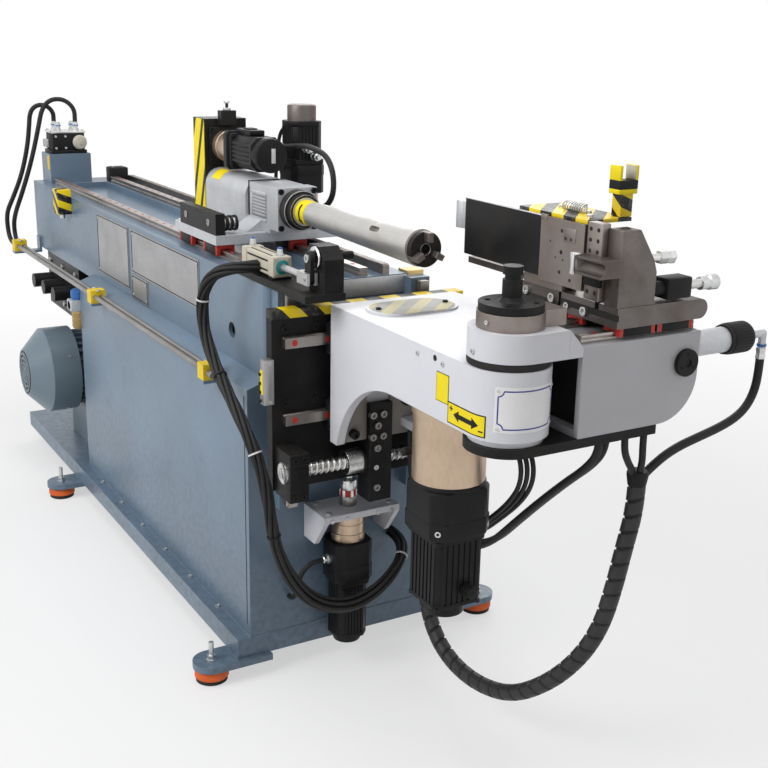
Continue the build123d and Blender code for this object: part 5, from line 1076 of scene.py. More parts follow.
# Hydraulic valve block on the rear riser, with four fittings and a round end cap
def valveStack():
    sizes = {
        "xs": (-1982.5, -1887.5), "ys": (-200, -75), "bottom": 1052, "foot": 1064, "top": 1122, "lid": 1130,
        "capAxis": (-100, 1091), "fittingXs": (-1911.25, -1958.75), "fittingYs": (-106.25, -168.75),
        "plugFront": -1950, "plugYs": (-192, -140), "plugHalf": 14, "plugZs": (1070, 1098),
    }
    rear, front = sizes["xs"]
    near, far = sizes["ys"]
    foot, top, lid = sizes["foot"], sizes["top"], sizes["lid"]
    shape = Shape("valveStack")
    shape.box((rear, front), (near, far), (sizes["bottom"], foot), blackOxide, 1.5)
    shape.box((rear + 5, front - 3), (near + 6, far - 6), (foot, top), blackPlastic, 3)
    shape.box((rear + 2, front), (near + 3, far - 3), (top, lid), brightSteel, 1.5)
    cap = [(0, 25), (4, 25), (5, 23), (12, 23), (16, 20), (18, 10), (18, 6), (22, 6), (22, 0)]
    shape.turned((front, *sizes["capAxis"]), alongX, cap, beigeAlloy, 40)
    fitting = [(0, 12), (7, 12), (7, 9), (12, 9), (12, 11), (24, 11), (24, 9), (30, 9)]
    for x, y, z in spots(sizes["fittingXs"], sizes["fittingYs"], (lid,)):
        shape.turned((x, y, z), alongZ, fitting, zinc, 6)
        shape.turned((x, y, z + 16), alongZ, band(10, 10.6, 0, 4), bluePlastic, 24)
    plugXs, half = (rear + 1, sizes["plugFront"]), sizes["plugHalf"]
    for y in sizes["plugYs"]:
        shape.box(plugXs, (y - half, y + half), sizes["plugZs"], whitePlastic, 2.5)
    shape.done("frame", "black_steel", "valve_block")
    heads = grid((-1972, -1897), (-189, -86), (lid,), alongZ, 5)
    heads += grid((front,), (-184, -150), (1072, 1112), alongX, 4)
    screws("valveScrews", "frame", heads, sides=16)


# Filter and regulator at the pedestal's rear, with a clear bowl
def airFilter():
    sizes = {"x": -1329, "y": -292, "half": 24, "reach": 30, "wall": -242, "back": (628, 668)}
    sizes |= {"bowl": 560, "collar": 612, "body": (620, 656), "dial": 638}
    x, y, reach, top = sizes["x"], sizes["y"], sizes["reach"], sizes["body"][1]
    xs = (x - sizes["half"], x + sizes["half"])
    shape = Shape("airFilter")
    shape.box(xs, (y + 2, sizes["wall"]), sizes["back"], beigeAlloy, 2)
    shape.box(xs, (y - reach, y + reach), sizes["body"], castAlloy, 4)
    knob = [(0, 19), (6, 19), (7, 22), (26, 22), (30, 19), (34, 12)]
    shape.turned((x, y, top), alongZ, knob, bluePlastic, 24)
    bowl = [(0, 15), (4, 20), (10, 22), (48, 22), (58, 21), (60, 19)]
    shape.turned((x, y, sizes["bowl"]), alongZ, bowl, amberBowl, 28)
    shape.turned((x, y, sizes["collar"]), alongZ, [(0, 23.5), (8, 23.5)], brass, 12)
    shape.turned((x, y - reach, sizes["dial"]), -alongY, [(0, 14), (-2, 14)], whitePlastic, 24)
    shape.done("frame", "bare_alloy", "filter_regulator")


# Pump motor: fan grille, lifting eye and bolts
def pumpTrim():
    sizes = {
        "x": -1600, "z": 358, "front": -411, "grille": 74, "rings": (16, 32, 48, 64), "spoke": (140, 5, 3),
        "cowl": 143, "cowlScrews": -290, "eye": (70, -150), "eyeStem": 92, "eyeMiddle": 120,
    }
    x, z, front = sizes["x"], sizes["z"], sizes["front"]
    shape = Shape("pumpTrim")
    backing = [(0, 0), (0, sizes["grille"]), (1.2, sizes["grille"])]
    shape.turned((x, front - 0.6, z), alongY, backing, blackPaint, 48)
    for radius in sizes["rings"]:
        shape.turned((x, front - 2.4, z), alongY, band(radius - 3, radius + 3, 0, 3), pumpGrey, 40)
    eyeX, eyeY = x + sizes["eye"][0], sizes["eye"][1]
    shape.turned((eyeX, eyeY, z + sizes["eyeMiddle"]), alongY, band(9, 15, -6, 6), zinc, 28)
    shape.rod((eyeX, eyeY, z + sizes["eyeStem"]), alongZ, 16, 8, zinc, 16)
    shape.done("frame", "frame_paint")
    spokes = [((x, front - 0.9, z), -alongY, along) for along in rays(8, alongX, alongZ)[:4]]
    bars("cowlSpokes", "frame", pumpGrey, spokes, sizes["spoke"])
    heads = []
    for facing in rays(4, alongX, alongZ, math.radians(30)):
        heads.append((*(Vector((x, sizes["cowlScrews"], z)) + facing * sizes["cowl"]), facing, 5))
    heads += grid((-1840, -1690, -1540), (-239,), (560, 690), -alongY, 9)
    screws("pumpScrews", "frame", heads, **hexBolt | {"height": 1, "depth": 0.3})


# Tank: lid, filler, level gauge and drain plug
def tankTrim():
    sizes = {
        "lid": ((-1904, -1336), (-58, 304), (468, 476)), "side": 300, "lidTop": 476,
        "filler": (-1440, 230), "gauge": -1652, "gaugeZs": (196, 372), "glassZs": (214, 354),
        "drain": (-1392, 132),
    }
    side, top, gauge = sizes["side"], sizes["lidTop"], sizes["gauge"]
    shape = Shape("tankTrim")
    shape.box(*sizes["lid"], blackPaint, 2)
    filler = [(0, 34), (5, 34), (6, 27), (10, 27), (11, 29), (27, 29), (31, 25), (32, 12), (32, 0)]
    shape.turned((*sizes["filler"], top), alongZ, filler, zinc, 36)
    shape.box((gauge - 16, gauge + 16), (side, side + 7), sizes["gaugeZs"], castAlloy, 2)
    shape.box((gauge - 8, gauge + 8), (side + 6.6, side + 8), sizes["glassZs"], amberBowl, 0.5)
    drain = [(0, 20), (5, 20), (5, 15), (14, 15), (15, 13)]
    shape.turned((sizes["drain"][0], side - 1, sizes["drain"][1]), alongY, drain, zinc, 6)
    shape.done("frame", "black_steel")
    ends = (-1894, -1346)
    heads = grid(evenly(*ends, 130), (-48, 294), (top,), alongZ, 6)
    heads += grid(ends, (66, 180), (top,), alongZ, 6)
    heads += grid((gauge,), (side + 7,), (204, 364), alongY, 4)
    screws("tankScrews", "frame", heads, **hexBolt)


# Access panel with vents on the far side
def accessPanel():
    sizes = {"xs": (-1010, -610), "zs": (230, 560), "wall": 292, "proud": 3}
    sizes |= {"vent": (260, 11, 8), "ventX": -810, "ventZs": (330, 460), "ventPitch": 22}
    wall, face = sizes["wall"], sizes["wall"] + sizes["proud"]
    shape = Shape("accessPanel")
    shape.box(sizes["xs"], (wall - 0.5, face), sizes["zs"], frameBlue, 1.2)
    shape.done("frame", "frame_paint")
    levels = spaced(*sizes["ventZs"], sizes["ventPitch"])
    vents = [((sizes["ventX"], face, z), alongY, alongX) for z in levels]
    bars("panelVents", "frame", frameBlue, vents, sizes["vent"])
    heads = grid(evenly(-996, -624, 190), (face,), (244, 546), alongY, 5)
    heads += grid((-996, -624), (face,), (395,), alongY, 5)
    screws("panelScrews", "frame", heads, sides=16, height=0.8)


# Air cylinder on its shelf, with the bush and the pins of the lever
def airDrive():
    sizes = {
        "y": -212, "z": 994, "half": 23, "rear": -150, "front": 20, "endCap": 26, "foot": (966, 975),
        "barrel": (-126, -4), "slots": (-120, -10), "ports": (-137, 7), "screw": 17,
        "pivot": (152, -199, 1037),
    }
    y, z, half, rear, front = [sizes[key] for key in ("y", "z", "half", "rear", "front")]
    ys, zs = (y - half, y + half), (z - half, z + half)
    shape = Shape("airCylinder")
    inner = half - 1.5
    shape.box(sizes["barrel"], (y - inner, y + inner), (z - inner, z + inner), beigeAlloy, 4)
    for low in (rear, front - sizes["endCap"]):
        high = low + sizes["endCap"]
        shape.box((low, high), ys, zs, beigeAlloy, 3)
        shape.box((low + 2, high - 2), ys, sizes["foot"], blackOxide, 1)
    slots = sizes["slots"]
    for offset in (-11, 11):
        shape.box(slots, (y + offset - 2, y + offset + 2), (zs[1] - 2, zs[1] - 1), blackPlastic)
        shape.box(slots, (ys[0] + 1, ys[0] + 2), (z + offset - 2, z + offset + 2), blackPlastic)
    rodSeal = [(0, 16), (8, 16), (9, 14), (9, 9), (0, 9), (0, 16)]
    shape.turned((12, y, z), alongX, rodSeal, tealSeal, 32)
    for x in sizes["ports"]:
        shape.turned((x, y, zs[1]), alongZ, [(0, 8), (6, 8), (6, 6.5), (14, 6.5), (16, 5)], zinc, 6)
        shape.turned((x, y, zs[1] + 16), alongZ, [(0, 5), (3, 5)], bluePlastic, 16)
    shape.done("frame", "beige_alloy", "air_cylinder")
    screwYs, screwZs = [(middle - sizes["screw"], middle + sizes["screw"]) for middle in (y, z)]
    heads = grid((front,), screwYs, screwZs, alongX, 3.6) + grid((rear,), screwYs, screwZs, -alongX, 3.6)
    screws("cylinderScrews", "frame", heads, **lowHead | {"socket": 0.55})
    x, face, level = sizes["pivot"]
    trim = Shape("shelfTrim")
    bush = [(0, 13), (0, 24), (2.5, 24), (4, 22), (4, 13), (0, 13)]
    trim.turned((x, face, level), -alongY, bush, brightSteel, 40)
    trim.done("frame", "bright_steel")
    heads = grid((175,), (-186, -162), (1022, 985), alongX, 6)
    heads += grid((-140, -80, 80), (-160,), (sizes["foot"][0],), alongZ, 6)
    screws("shelfScrews", "frame", heads, **blackScrew)
    screws("leverScrews", "lever", [(x, -217, level, -alongY, 9)], **pinHead)
    screws("clevisPin", "air_rod", [(x, -225, z, -alongY, 5)], **pinHead)


# Lift drive: servo, coupling and screw
def liftDrive():
    drive = {"gear": (38, 69), "adaptor": (49, 18, 99), "motor": (41, 12, 150), "flange": 12, "cap": (34, 16)}
    drive |= {"capFinish": servoBlack}
    sizes = {"top": 404, "plug": 290, "plugReach": 49}
    sizes |= {"coupling": 420.5, "upperHub": 40, "hub": (14, 20, 24), "screw": (484, 376, 9.4), "claws": 6}
    servo("liftServo", "frame", (*liftAxis, sizes["top"]), -alongZ, drive, "lift_servo")
    plug = Shape("liftPlug")
    socket = [(-1, 12), (6, 12), (6, 9), (16, 9), (18, 7)]
    plug.turned((liftAxis[0], liftAxis[1] - sizes["plugReach"], sizes["plug"]), -alongY, socket, zinc, 24)
    plug.done("frame", "zinc")
    coupling = (*liftAxis, sizes["coupling"])
    inner, outer, length = sizes["hub"]
    hub = [(0, inner), (0, outer), (length, outer), (length, inner)]
    spider = [(24, 12), (24, 19), (40, 19), (40, 12)]
    bottom, reach, radius = sizes["screw"]
    shape = Shape("liftScrew")
    shape.turned(coupling, alongZ, hub, pipeSteel, 40, 1)
    shape.turned(coupling, alongZ, spider, redSeal, 40)
    shape.turned((*liftAxis, sizes["coupling"] + sizes["upperHub"]), alongZ, hub, brightSteel, 40, 1)
    shape.rod((*liftAxis, bottom), alongZ, reach, radius, brightSteel, 28)
    shape.done("lift_screw", "bright_steel", "lift_screw")
    start = (*liftAxis, bottom + 2)
    thread("liftThread", "lift_screw", brightSteel, start, alongZ, reach - 4, 10, 9.6, 2.3)
    middle = Vector((*liftAxis, sizes["coupling"] + 32))
    claws = [(middle + facing * 17, facing, alongZ) for facing in rays(sizes["claws"], alongX, alongY)]
    bars("couplingClaws", "lift_screw", brightSteel, claws, (16, 7, 5.6))
    heads = grid((20, 88), (-130, 30), (420,), alongZ, 7)
    heads += grid((105,), (-130, -90, -10, 30), (408,), alongX, 4.5)
    screws("bracketScrews", "frame", heads)


# Runner blocks under the carriage
def feedRunners():
    sizes = {"width": 48, "length": 88, "height": 30, "gap": 12.3, "depth": 14.8, "seal": 10}
    shape = Shape("feedRunners")
    runners(shape, spots((-556, -390), feedRailYs, (956,)), alongX, alongZ, sizes)
    shape.done("carriage", "black_steel", "carriage_blocks")


# Rotary and feed servos with their plugs
def carriageDrives():
    rotary = {"gear": (42, 100), "adaptor": (49, 8, 25), "motor": (44, 14, 140), "flange": 14}
    rotary |= {"cap": (43, 33), "capFinish": servoBlack}
    feed = {"gear": (42, 65), "adaptor": (48, 14, 75), "motor": (45, 12, 112), "flange": 14}
    feed |= {"cap": (38, 41), "capFinish": darkSteel}
    sizes = {
        "rotaryStart": (-690, -44, 1187), "feedStart": (-530, 105.5, 1010),
        "rotaryPlug": (-480, 0, 1200), "feedPlug": (-575, 92, 1240),
        "feedSockets": ((-486, 92, 1192), (-486, 116, 1172)),
        "glands": ((-450, 44, 15), (-586, 52, 13)), "deck": 1010,
        "plug": [(-2, 13), (7, 13), (7, 10), (14, 10), (14, 12), (24, 12), (26, 8)],
        "socket": [(0, 9), (6, 9), (6, 7.5), (14, 7.5), (14, 9.5), (27, 9.5), (29, 6.5), (40, 6)],
        "junction": ((-568, -478), (-66, -24), (1229, 1243)),
        "junctionLid": ((-540, -505), (-58, -32), (1243, 1246)),
        "capTag": ((-392.2, -391.3), (-46, -35), (1169, 1205)),
    }
    servo("rotaryServo", "carriage", sizes["rotaryStart"], alongX, rotary, "rotary_servo")
    servo("feedServo", "carriage", sizes["feedStart"], alongZ, feed, "feed_servo")
    shape = Shape("servoPlugs")
    shape.turned(sizes["rotaryPlug"], alongY, sizes["plug"], castAlloy, 24)
    shape.turned(sizes["feedPlug"], -alongX, sizes["plug"], castAlloy, 24)
    for spot in sizes["feedSockets"]:
        shape.turned(spot, alongX, sizes["socket"], zinc, 20)
    shape.box(*sizes["junction"], servoBlack, 3)
    shape.box(*sizes["junctionLid"], blackPlastic, 1.5)
    shape.box(*sizes["capTag"], whitePlastic, 0.3)
    for x, y, radius in sizes["glands"]:
        gland = [(0, radius), (4, radius), (8, radius - 4), (12, radius - 6)]
        shape.turned((x, y, sizes["deck"]), alongZ, gland, blackPlastic, 24)
    shape.done("carriage", "bare_alloy")


# Carriage: stripes on the belt guard, nose panel, dark ring, label, stub and bolts
def carriageTrim():
    sizes = {
        "guard": (-104.8, -103.8), "nose": -94, "flange": -250, "deck": 1010,
        "backing": ((-688, -684), (-92, 4), (1140, 1236)),
        "noseGap": ((-426.5, -421), (-95.2, 6.8), (1012, 1126)),
        "label": ((-62, 1088), 42.7, 41.6), "stub": (-345, -203, 1036), "tensioner": (-678, -44),
        "panelRear": -412, "panel": ((-400, -320), (1042, 1098)), "panelBar": 8,
    }
    stripes = [
        [(-748, 1257), (-708, 1257), (-768.5, 1077), (-768.5, 1197)],
        [(-692.5, 1256), (-692.5, 1136), (-732, 1017), (-768.5, 1017), (-768.5, 1026)],
        [(-692.5, 1088), (-692.5, 1017), (-716, 1017)],
    ]
    nose, flange, deck = sizes["nose"], sizes["flange"], sizes["deck"]
    axis = Vector((0, *tubeAxis))
    shape = Shape("carriageTrim")
    for outline in stripes:
        shape.prism(outline, 1, sizes["guard"], labelYellow)
    shape.box(*sizes["backing"], blackOxide, 1)
    shape.box(*sizes["noseGap"], blackPlastic)
    (rear, front), (low, high) = sizes["panel"]
    over, under = (high, high + sizes["panelBar"]), (low - sizes["panelBar"], low)
    for end, zs in ((front, over), (front, under), (rear, (low, high))):
        shape.box((sizes["panelRear"], end), (nose - 3, nose + 1), zs, castAlloy, 1)
    shape.box((rear, front), (nose - 1, nose + 1), (low, high), plateSilver)
    dark = [(0, 34), (0, 48.6), (26, 48.6), (28.4, 46), (28.4, 40.6), (44, 40.6), (45.4, 39), (45.4, 34)]
    dark.append(dark[0])
    shape.turned((flange, *tubeAxis), alongX, dark, wornBlack, 56)
    middle, outer, inner = sizes["label"]
    label = arc(middle, outer, 100, 154, 9) + arc(middle, inner, 154, 100, 9)
    shape.prism(label, 0, (-655, -600), labelYellow)
    stub = [(-2, 9), (4, 9), (4, 15), (10, 15), (10, 10), (16, 10), (16, 15), (22, 15), (22, 10), (28, 10)]
    stub += [(28, 15), (34, 15), (34, 8), (40, 8)]
    shape.turned(sizes["stub"], alongY, stub, brightSteel, 32)
    shape.done("carriage", "bare_alloy")
    slats = [((-360, nose - 1.4, z), -alongY, alongX) for z in spaced(1044, 1098, 8)]
    bars("nosePanel", "carriage", castAlloy, slats, (76, 4, 2.6))
    heads = grid((flange,), (-88, 0), (1030, 1118), alongX, 7)
    heads += grid((-684,), (-86, -2), (1146, 1230), alongX, 6)
    screws("carriageScrews", "carriage", heads, **blackScrew)
    holes = [(*(axis + alongX * -222 + out * 44), alongX, 2.2) for out in rays(6, alongY, alongZ, 0.4)]
    holes += grid((-520, -370), (-227,), (1036,), -alongY, 9)
    screws("carriagePlugs", "carriage", holes, "bare_alloy", pipeSteel, height=0.3, socket=0.6, depth=0.1)
    bolts = grid((-590, -333), (-215, -195, 145), (deck,), alongZ, 6)
    bolts += grid((-680, -640, -460), (-112, 24), (deck,), alongZ, 6)
    screws("deckBolts", "carriage", bolts)
    tensioner = Shape("tensionerTrim")
    tensioner.turned((*sizes["tensioner"], 1280), alongZ, [(0, 11), (7, 11)], zinc, 6, 0.6)
    tensioner.turned((*sizes["tensioner"], 1298), alongZ, [(0, 6), (1, 8), (6, 8), (8, 6)], zinc, 6)
    tensioner.done("carriage", "zinc")


# Collet barrel: yellow band with an arrow, front lip and the bright sleeve inside the jaws
def colletTrim():
    sizes = {"barrel": 29, "label": (-204, 44), "lip": 318, "tube": (250, 87), "arrow": -182}
    rear, width = sizes["label"]
    start, length = sizes["tube"]
    shape = Shape("colletTrim")
    shape.turned((rear, *tubeAxis), alongX, band(28.5, 29.6, 0, width), labelYellow, 48)
    shape.turned((sizes["lip"], *tubeAxis), alongX, band(36, 37.2, 0, 5), brownSteel, 48)
    shape.turned((start, *tubeAxis), alongX, band(11.2, 12.4, 0, length), brightSteel, 40)
    shape.done("collet", "machined_steel")

    def barrel(along):
        turn = along / sizes["barrel"]
        facing = Vector((-math.cos(turn), math.sin(turn)))
        return Vector(tubeAxis) + facing * sizes["barrel"], facing

    halves = [(-30 + 16 * share, 0.4 + 8.6 * share) for share in (0, 0.2, 0.4, 0.6, 0.8, 1)]
    halves += [(along, 3.5) for along in evenly(-13.9, 24, 3)]
    arrow = [(along, sizes["arrow"] - half, sizes["arrow"] + half) for along, half in halves]
    sign = Shape("colletArrow")
    sign.ribbon(barrel, arrow, (0.4, 1.2), blackPlastic, axis=0)
    sign.done("collet", "black_plastic")


# Slide plate: striped guard, edge strip, screw bearing, screws and the runner blocks of the lift
def slideTrim():
    sizes = {
        "hazard": ((73.5, 106.5), (-277.5, 207.5), (901, 920.5)),
        "strip": ((90, 112.5), (-300.5, -277), (714.5, 815.5)),
        "stripLabel": ((93, 106), (-301.2, -300), (738, 792)),
        "stripStuds": (722, 742, 762, 782), "front": 100, "bearing": (-270, 24.5), "guide": 42,
    }
    x, z = shiftAxis
    face, radius = sizes["bearing"]
    shape = Shape("slideTrim")
    shape.box(*sizes["hazard"], hazard, 0.8)
    shape.box(*sizes["strip"], plateSilver, 2)
    shape.box(*sizes["stripLabel"], labelYellow)
    for level in sizes["stripStuds"]:
        shape.rod((95, -300, level), -alongY, 5, 3.5, blackPlastic, 12, 0.8)
    ring = [(0, 12), (0, radius), (5, radius), (6.5, radius - 2.5), (6.5, 12), (0, 12)]
    shape.turned((x, face, z), -alongY, ring, brightSteel, 40)
    shape.turned((x, face - 6, z), -alongY, [(-4, 13), (2, 13)], zinc, 6, 0.6)
    corner = [(176, 615.4), (176.4, 615), (176.4, 590), (152, 615.4)]
    shape.prism(corner, 1, (-270.4, -224.6), blackOxide)
    shape.done("slide", "black_steel")
    front = (sizes["front"],)
    heads = grid(front, (-246, -172), (877, 710), alongX, 8)
    heads += grid(front, (20, 190), (877, 710, 770), alongX, 8)
    heads += grid((176,), (-258, -237, 175, 195), (517, 603), alongX, 6)
    screws("slideScrews", "slide", heads, height=1.1, **blackScrew)
    plugs = grid((120,), spaced(-271, 209, 80), shiftRailZs, alongX, 7)
    screws("shiftPlugs", "slide", plugs, **plugCap)
    screws("stripScrews", "slide", grid((112.5,), (-288,), (722, 808), alongX, 4), sides=16)
    guide = {"width": 48.8, "length": 88.8, "height": 31.8, "gap": 12.3, "depth": 12.8, "seal": 10}
    caps = Shape("liftRunners")
    runners(caps, spots((sizes["guide"],), liftRailYs, (589, 834)), alongZ, alongX, guide)
    caps.done("slide", "black_steel")


# Shift screw with its nut
def shiftDrive():
    sizes = {"low": -269, "core": 13, "journal": 15, "thread": (45, 388), "nut": (-125, 28.4)}
    x, z = shiftAxis
    low, core, journal = sizes["low"], sizes["core"], sizes["journal"]
    start, length = sizes["thread"]
    shape = Shape("shiftScrew")
    profile = [(0, core), (44, core), (46, core), (434, core), (436, journal), (473, journal)]
    shape.turned((x, low, z), alongY, profile, brightSteel, 32)
    shape.done("shift_screw", "bright_steel", "shift_screw")
    first = (x, low + start, z)
    thread("shiftThread", "shift_screw", brightSteel, first, alongY, length, 14, 13.4, 2.6)
    face, radius = sizes["nut"]
    nut = Shape("shiftNut")
    sleeve = [(0, 17), (0, 26), (2, radius), (47, radius), (49, 26), (49, 17), (0, 17)]
    nut.turned((x, face, z), alongY, sleeve, brightSteel, 44)
    nut.done("head", "bright_steel")


# Bend head: labels and plate round the nose, plates on the rear wall that paint its shade, cover, seal and
# bolts
def headTrim():
    sizes = {
        "side": -155, "nose": 79, "plateStart": 605, "line": 1.2, "notch": 10,
        "plateEnds": (-65, 56), "plateLevels": (827, 897), "wall": (621, 790), "cover": (933, 934.8),
        "plate": (-71, 62, 820, 904), "glands": ((-112, 640), (96, 640), (20, 700)),
        "smallBack": (-41, 1, 838, 894), "smallFace": (-39.6, -0.4, 839.4, 892.6),
        "wideBack": (0, 110, 806, 847), "wideFace": (2.2, 107.8, 808.2, 844.8),
        "arrowLevel": 826.5, "arrowTip": (17, 10.5), "arrowShaft": (37.1, 77.9, 822, 831),
        "plusMark": ((7, 17, 834.7, 837.3), (10.7, 13.3, 831, 841)), "minusMark": (95, 105, 815, 817.6),
    }
    middle = Vector(spindle)
    flat = spindle[0] - sizes["plateStart"]

    def bow(along):
        turn = along / sizes["nose"]
        facing = Vector((math.cos(turn), math.sin(turn)))
        return middle + facing * sizes["nose"], facing

    def cheek(along):
        if along <= flat:
            return Vector((sizes["plateStart"] + along, sizes["side"])), Vector((0, -1))
        return bow(along - flat - sizes["nose"] * math.pi / 2)

    def strip(low, high, bottom, top):
        return [(along, bottom, top) for along in evenly(low, high, 4)]

    shape = Shape("headPlates")
    for label in ("small", "wide"):
        shape.ribbon(cheek, strip(*sizes[label + "Back"]), (-0.2, 0.5), blackPlastic)
        shape.ribbon(cheek, strip(*sizes[label + "Face"]), (0.4, 0.8), labelYellow)
    axis = sizes["arrowLevel"]
    length, half = sizes["arrowTip"]
    shares = (0.03, 0.25, 0.5, 0.75, 1)
    tip = [(share * length, axis - half * share, axis + half * share) for share in shares]
    arrow = [(20 + along, low, high) for along, low, high in tip] + strip(*sizes["arrowShaft"])
    arrow += [(95 - along, low, high) for along, low, high in tip[::-1]]
    shape.ribbon(cheek, arrow, (0.7, 1.2), blackPlastic)
    for sign in (*sizes["plusMark"], sizes["minusMark"]):
        shape.ribbon(cheek, strip(*sign), (0.7, 1.1), blackPlastic)
    shape.ribbon(bow, strip(*sizes["plate"]), (-0.2, 0.9), plateWhite)
    rear, front = sizes["plateEnds"]
    bottom, top = sizes["plateLevels"]
    notch, line = sizes["notch"], sizes["line"]
    border = [strip(rear + notch, front - notch, level - line, level + line) for level in (bottom, top)]
    border += [strip(along - line, along + line, bottom + notch, top - notch) for along in (rear, front)]
    corners = [(along, level) for along in (rear, front) for level in (bottom, top)]
    for along, level in corners:
        inward = 1 if along == rear else -1
        upward = 1 if level == bottom else -1
        quarter = []
        for reach in evenly(0, notch + line - 0.1, 1):
            outer = math.sqrt((notch + line) ** 2 - reach ** 2)
            inner = math.sqrt(max(0.0, (notch - line) ** 2 - reach ** 2))
            levels = sorted((level + upward * inner, level + upward * outer))
            quarter.append((along + inward * reach, *levels))
        border.append(quarter[::inward])
    for stations in border:
        shape.ribbon(bow, stations, (0.8, 1.2), plateBlue)
    shape.done("head", "head_paint")
    rearWall = Shape("rearWall")
    # Plates in front of the rear wall, in a dark grey that stands for the shade inside the head: painted
    # shade
    rearWall.box((159, 165), (-19, 134), sizes["wall"], wallShadeGrey, 1)
    rearWall.box((159, 166), (-134, -77), sizes["wall"], wallShadeGrey, 1)
    gland = [(0, 11), (14, 11), (17, 9), (17, 5), (12, 5), (12, 0)]
    for y, z in sizes["glands"]:
        rearWall.turned((165, y, z), alongX, gland, blackOxide, 24)
    rearWall.done("head", "head_paint")
    lidTop = sizes["cover"][1]
    cover = Shape("headCover")
    oval = arc((240, 28), 58, 0, 180, 8) + arc((240, -52), 58, 180, 360, 8)
    cover.prism(oval, 2, sizes["cover"], hazardFaded, 0.4)
    seal = [(0, 60), (0, 75.5), (3, 76.5), (10, 76.5), (13, 75.5), (13, 60), (0, 60)]
    cover.turned((*spindle, 930.2), alongZ, seal, rubber, 64)
    cover.done("head", "clamp_yellow")
    screws("headBolts", "head", grid((240,), (-95, 71), (lidTop,), alongZ, 6), **blackScrew)
    bolts = grid((180,), (-70, -44), (680, 629), alongX, 8) + grid((180,), (-58,), (655, 602, 508), alongX, 8)
    screws("barBolts", "head", bolts, finish=pipeSteel)
    bright = grid((496, 584), (sizes["side"],), (911,), -alongY, 5) + [(180, -60, 556, alongX, 6)]
    for along, level in corners:
        spot, facing = bow(along)
        bright.append((*(spot + facing), level, (*facing, 0), 3))
    screws("headScrews", "head", bright, **roundHead)
    hole = [(556, sizes["side"], 916, -alongY, 6)]
    screws("headHole", "head", hole, **holeShade | {"height": 0.1})


# Runner blocks of the shift, and the rails of the pressure die
def headRunners():
    guide = {"width": 70, "length": 88, "height": 34, "gap": 12.3, "depth": 14.8, "seal": 10}
    rail = {"half": 11.5, "waist": 8.5, "levels": (930, 937, 940, 943, 950)}
    shape = Shape("headRunners")
    blocks = spots((106,), (-106, 114), shiftRailZs)
    runners(shape, blocks, alongY, alongX, guide | {"sealFinish": blackPlastic})
    for x in pressureRailXs:
        shape.prism(railSection(x, **rail), 1, (40, 295), groundSteel, 0.6)
    shape.done("head", "machined_steel", "head_guides")
    plugs = grid(pressureRailXs, spaced(42, 293, 55), rail["levels"][-1:], alongZ, 5)
    screws("pressurePlugs", "head", plugs, **plugCap)


# Bend servo, and the rings of its gearbox
def bendDrive():
    drive = {"gear": (74, 0), "adaptor": (70, 24, 105), "motor": (58, 10, 150), "flange": 10, "cap": (42, 30)}
    drive |= {"shoulder": 7, "capFinish": servoBlack}
    sizes = {"axis": (497, -76), "top": 640, "upperRing": 786, "screw": 58.3, "screwLevel": 556}
    sizes |= {"plug": (555, -60, 420), "gland": (435, -141, 690)}
    x, y = sizes["axis"]
    servo("bendMotor", "head", (x, y, sizes["top"]), -alongZ, drive, "bend_motor")
    shape = Shape("bendTrim")
    ring = [(0, 70), (0, 76), (6, 76), (8, 74.6), (8, 70), (0, 70)]
    shape.turned((x, y, sizes["top"]), alongZ, ring, blackOxide, 64)
    shape.turned((x, y, sizes["upperRing"]), alongZ, band(70, 77, 0, 14), gearGold, 64)
    plug = [(-2, 15), (8, 15), (8, 12), (20, 12), (22, 9)]
    shape.turned(sizes["plug"], alongX, plug, blackPlastic, 24)
    shape.turned(sizes["gland"], -alongY, [(-30, 9), (4, 9), (6, 7)], blackPlastic, 20)
    shape.done("head", "gear_tan")
    heads = []
    for side, end in ((-1, -1), (-1, 1), (1, -1), (1, 1)):
        spot = (x + sizes["screw"] * side, y + sizes["screw"] * end, sizes["screwLevel"])
        heads.append((*spot, (side, end, 0), 6))
    screws("adaptorScrews", "head", heads, height=0.8)


# The arm is open at its near end. A black sheet inside paints the shade of the hollow, and the box is in a
# darker grey than the lug, also painted shade
def armFrame():
    sizes = {"xs": (600, 754), "ys": (31, 315), "zs": (788, 962), "plate": 14, "corner": 90}
    lug = {"radius": 77, "zs": (944, 996)}
    back, front = sizes["xs"]
    near, far = sizes["ys"]
    bottom, top = sizes["zs"]
    plate, corner = sizes["plate"], sizes["corner"]
    middle = (far - corner, bottom + corner)
    cheek = [(near, bottom), *arc(middle, corner, -90, 0, 12), (far, top), (near, top)]
    inner = [(near, top - plate), (far - plate, top - plate), *arc(middle, corner - plate, 0, -90, 12)]
    inner.append((near, bottom + plate))
    between = (back + plate - 0.1, front - plate + 0.1)
    shape = Shape("armFrame")
    for xs in ((back, back + plate), (front - plate, front)):
        # Cheeks and box in the darker copy of the head's grey, painted shade
        shape.prism(cheek, 0, xs, armShadeGrey, 1.5)
    shape.prism(cheek + inner, 0, between, armShadeGrey)
    # A black sheet in the hollow stands for its shade: painted shade
    shape.box(between, (near + 20, near + 26), (bottom + 5, top - 5), blackPaint)
    low, high = lug["zs"]
    outline = arc(spindle, lug["radius"], 180, 360, 36) + [(front, 0), (back, 0)]
    shape.prism(outline, 2, lug["zs"], headGrey)
    shape.prism([(0, low), (near, low), (near, top - 0.5), (0, high)], 0, sizes["xs"], headGrey)
    shape.done("arm", "head_paint", "arm_frame")


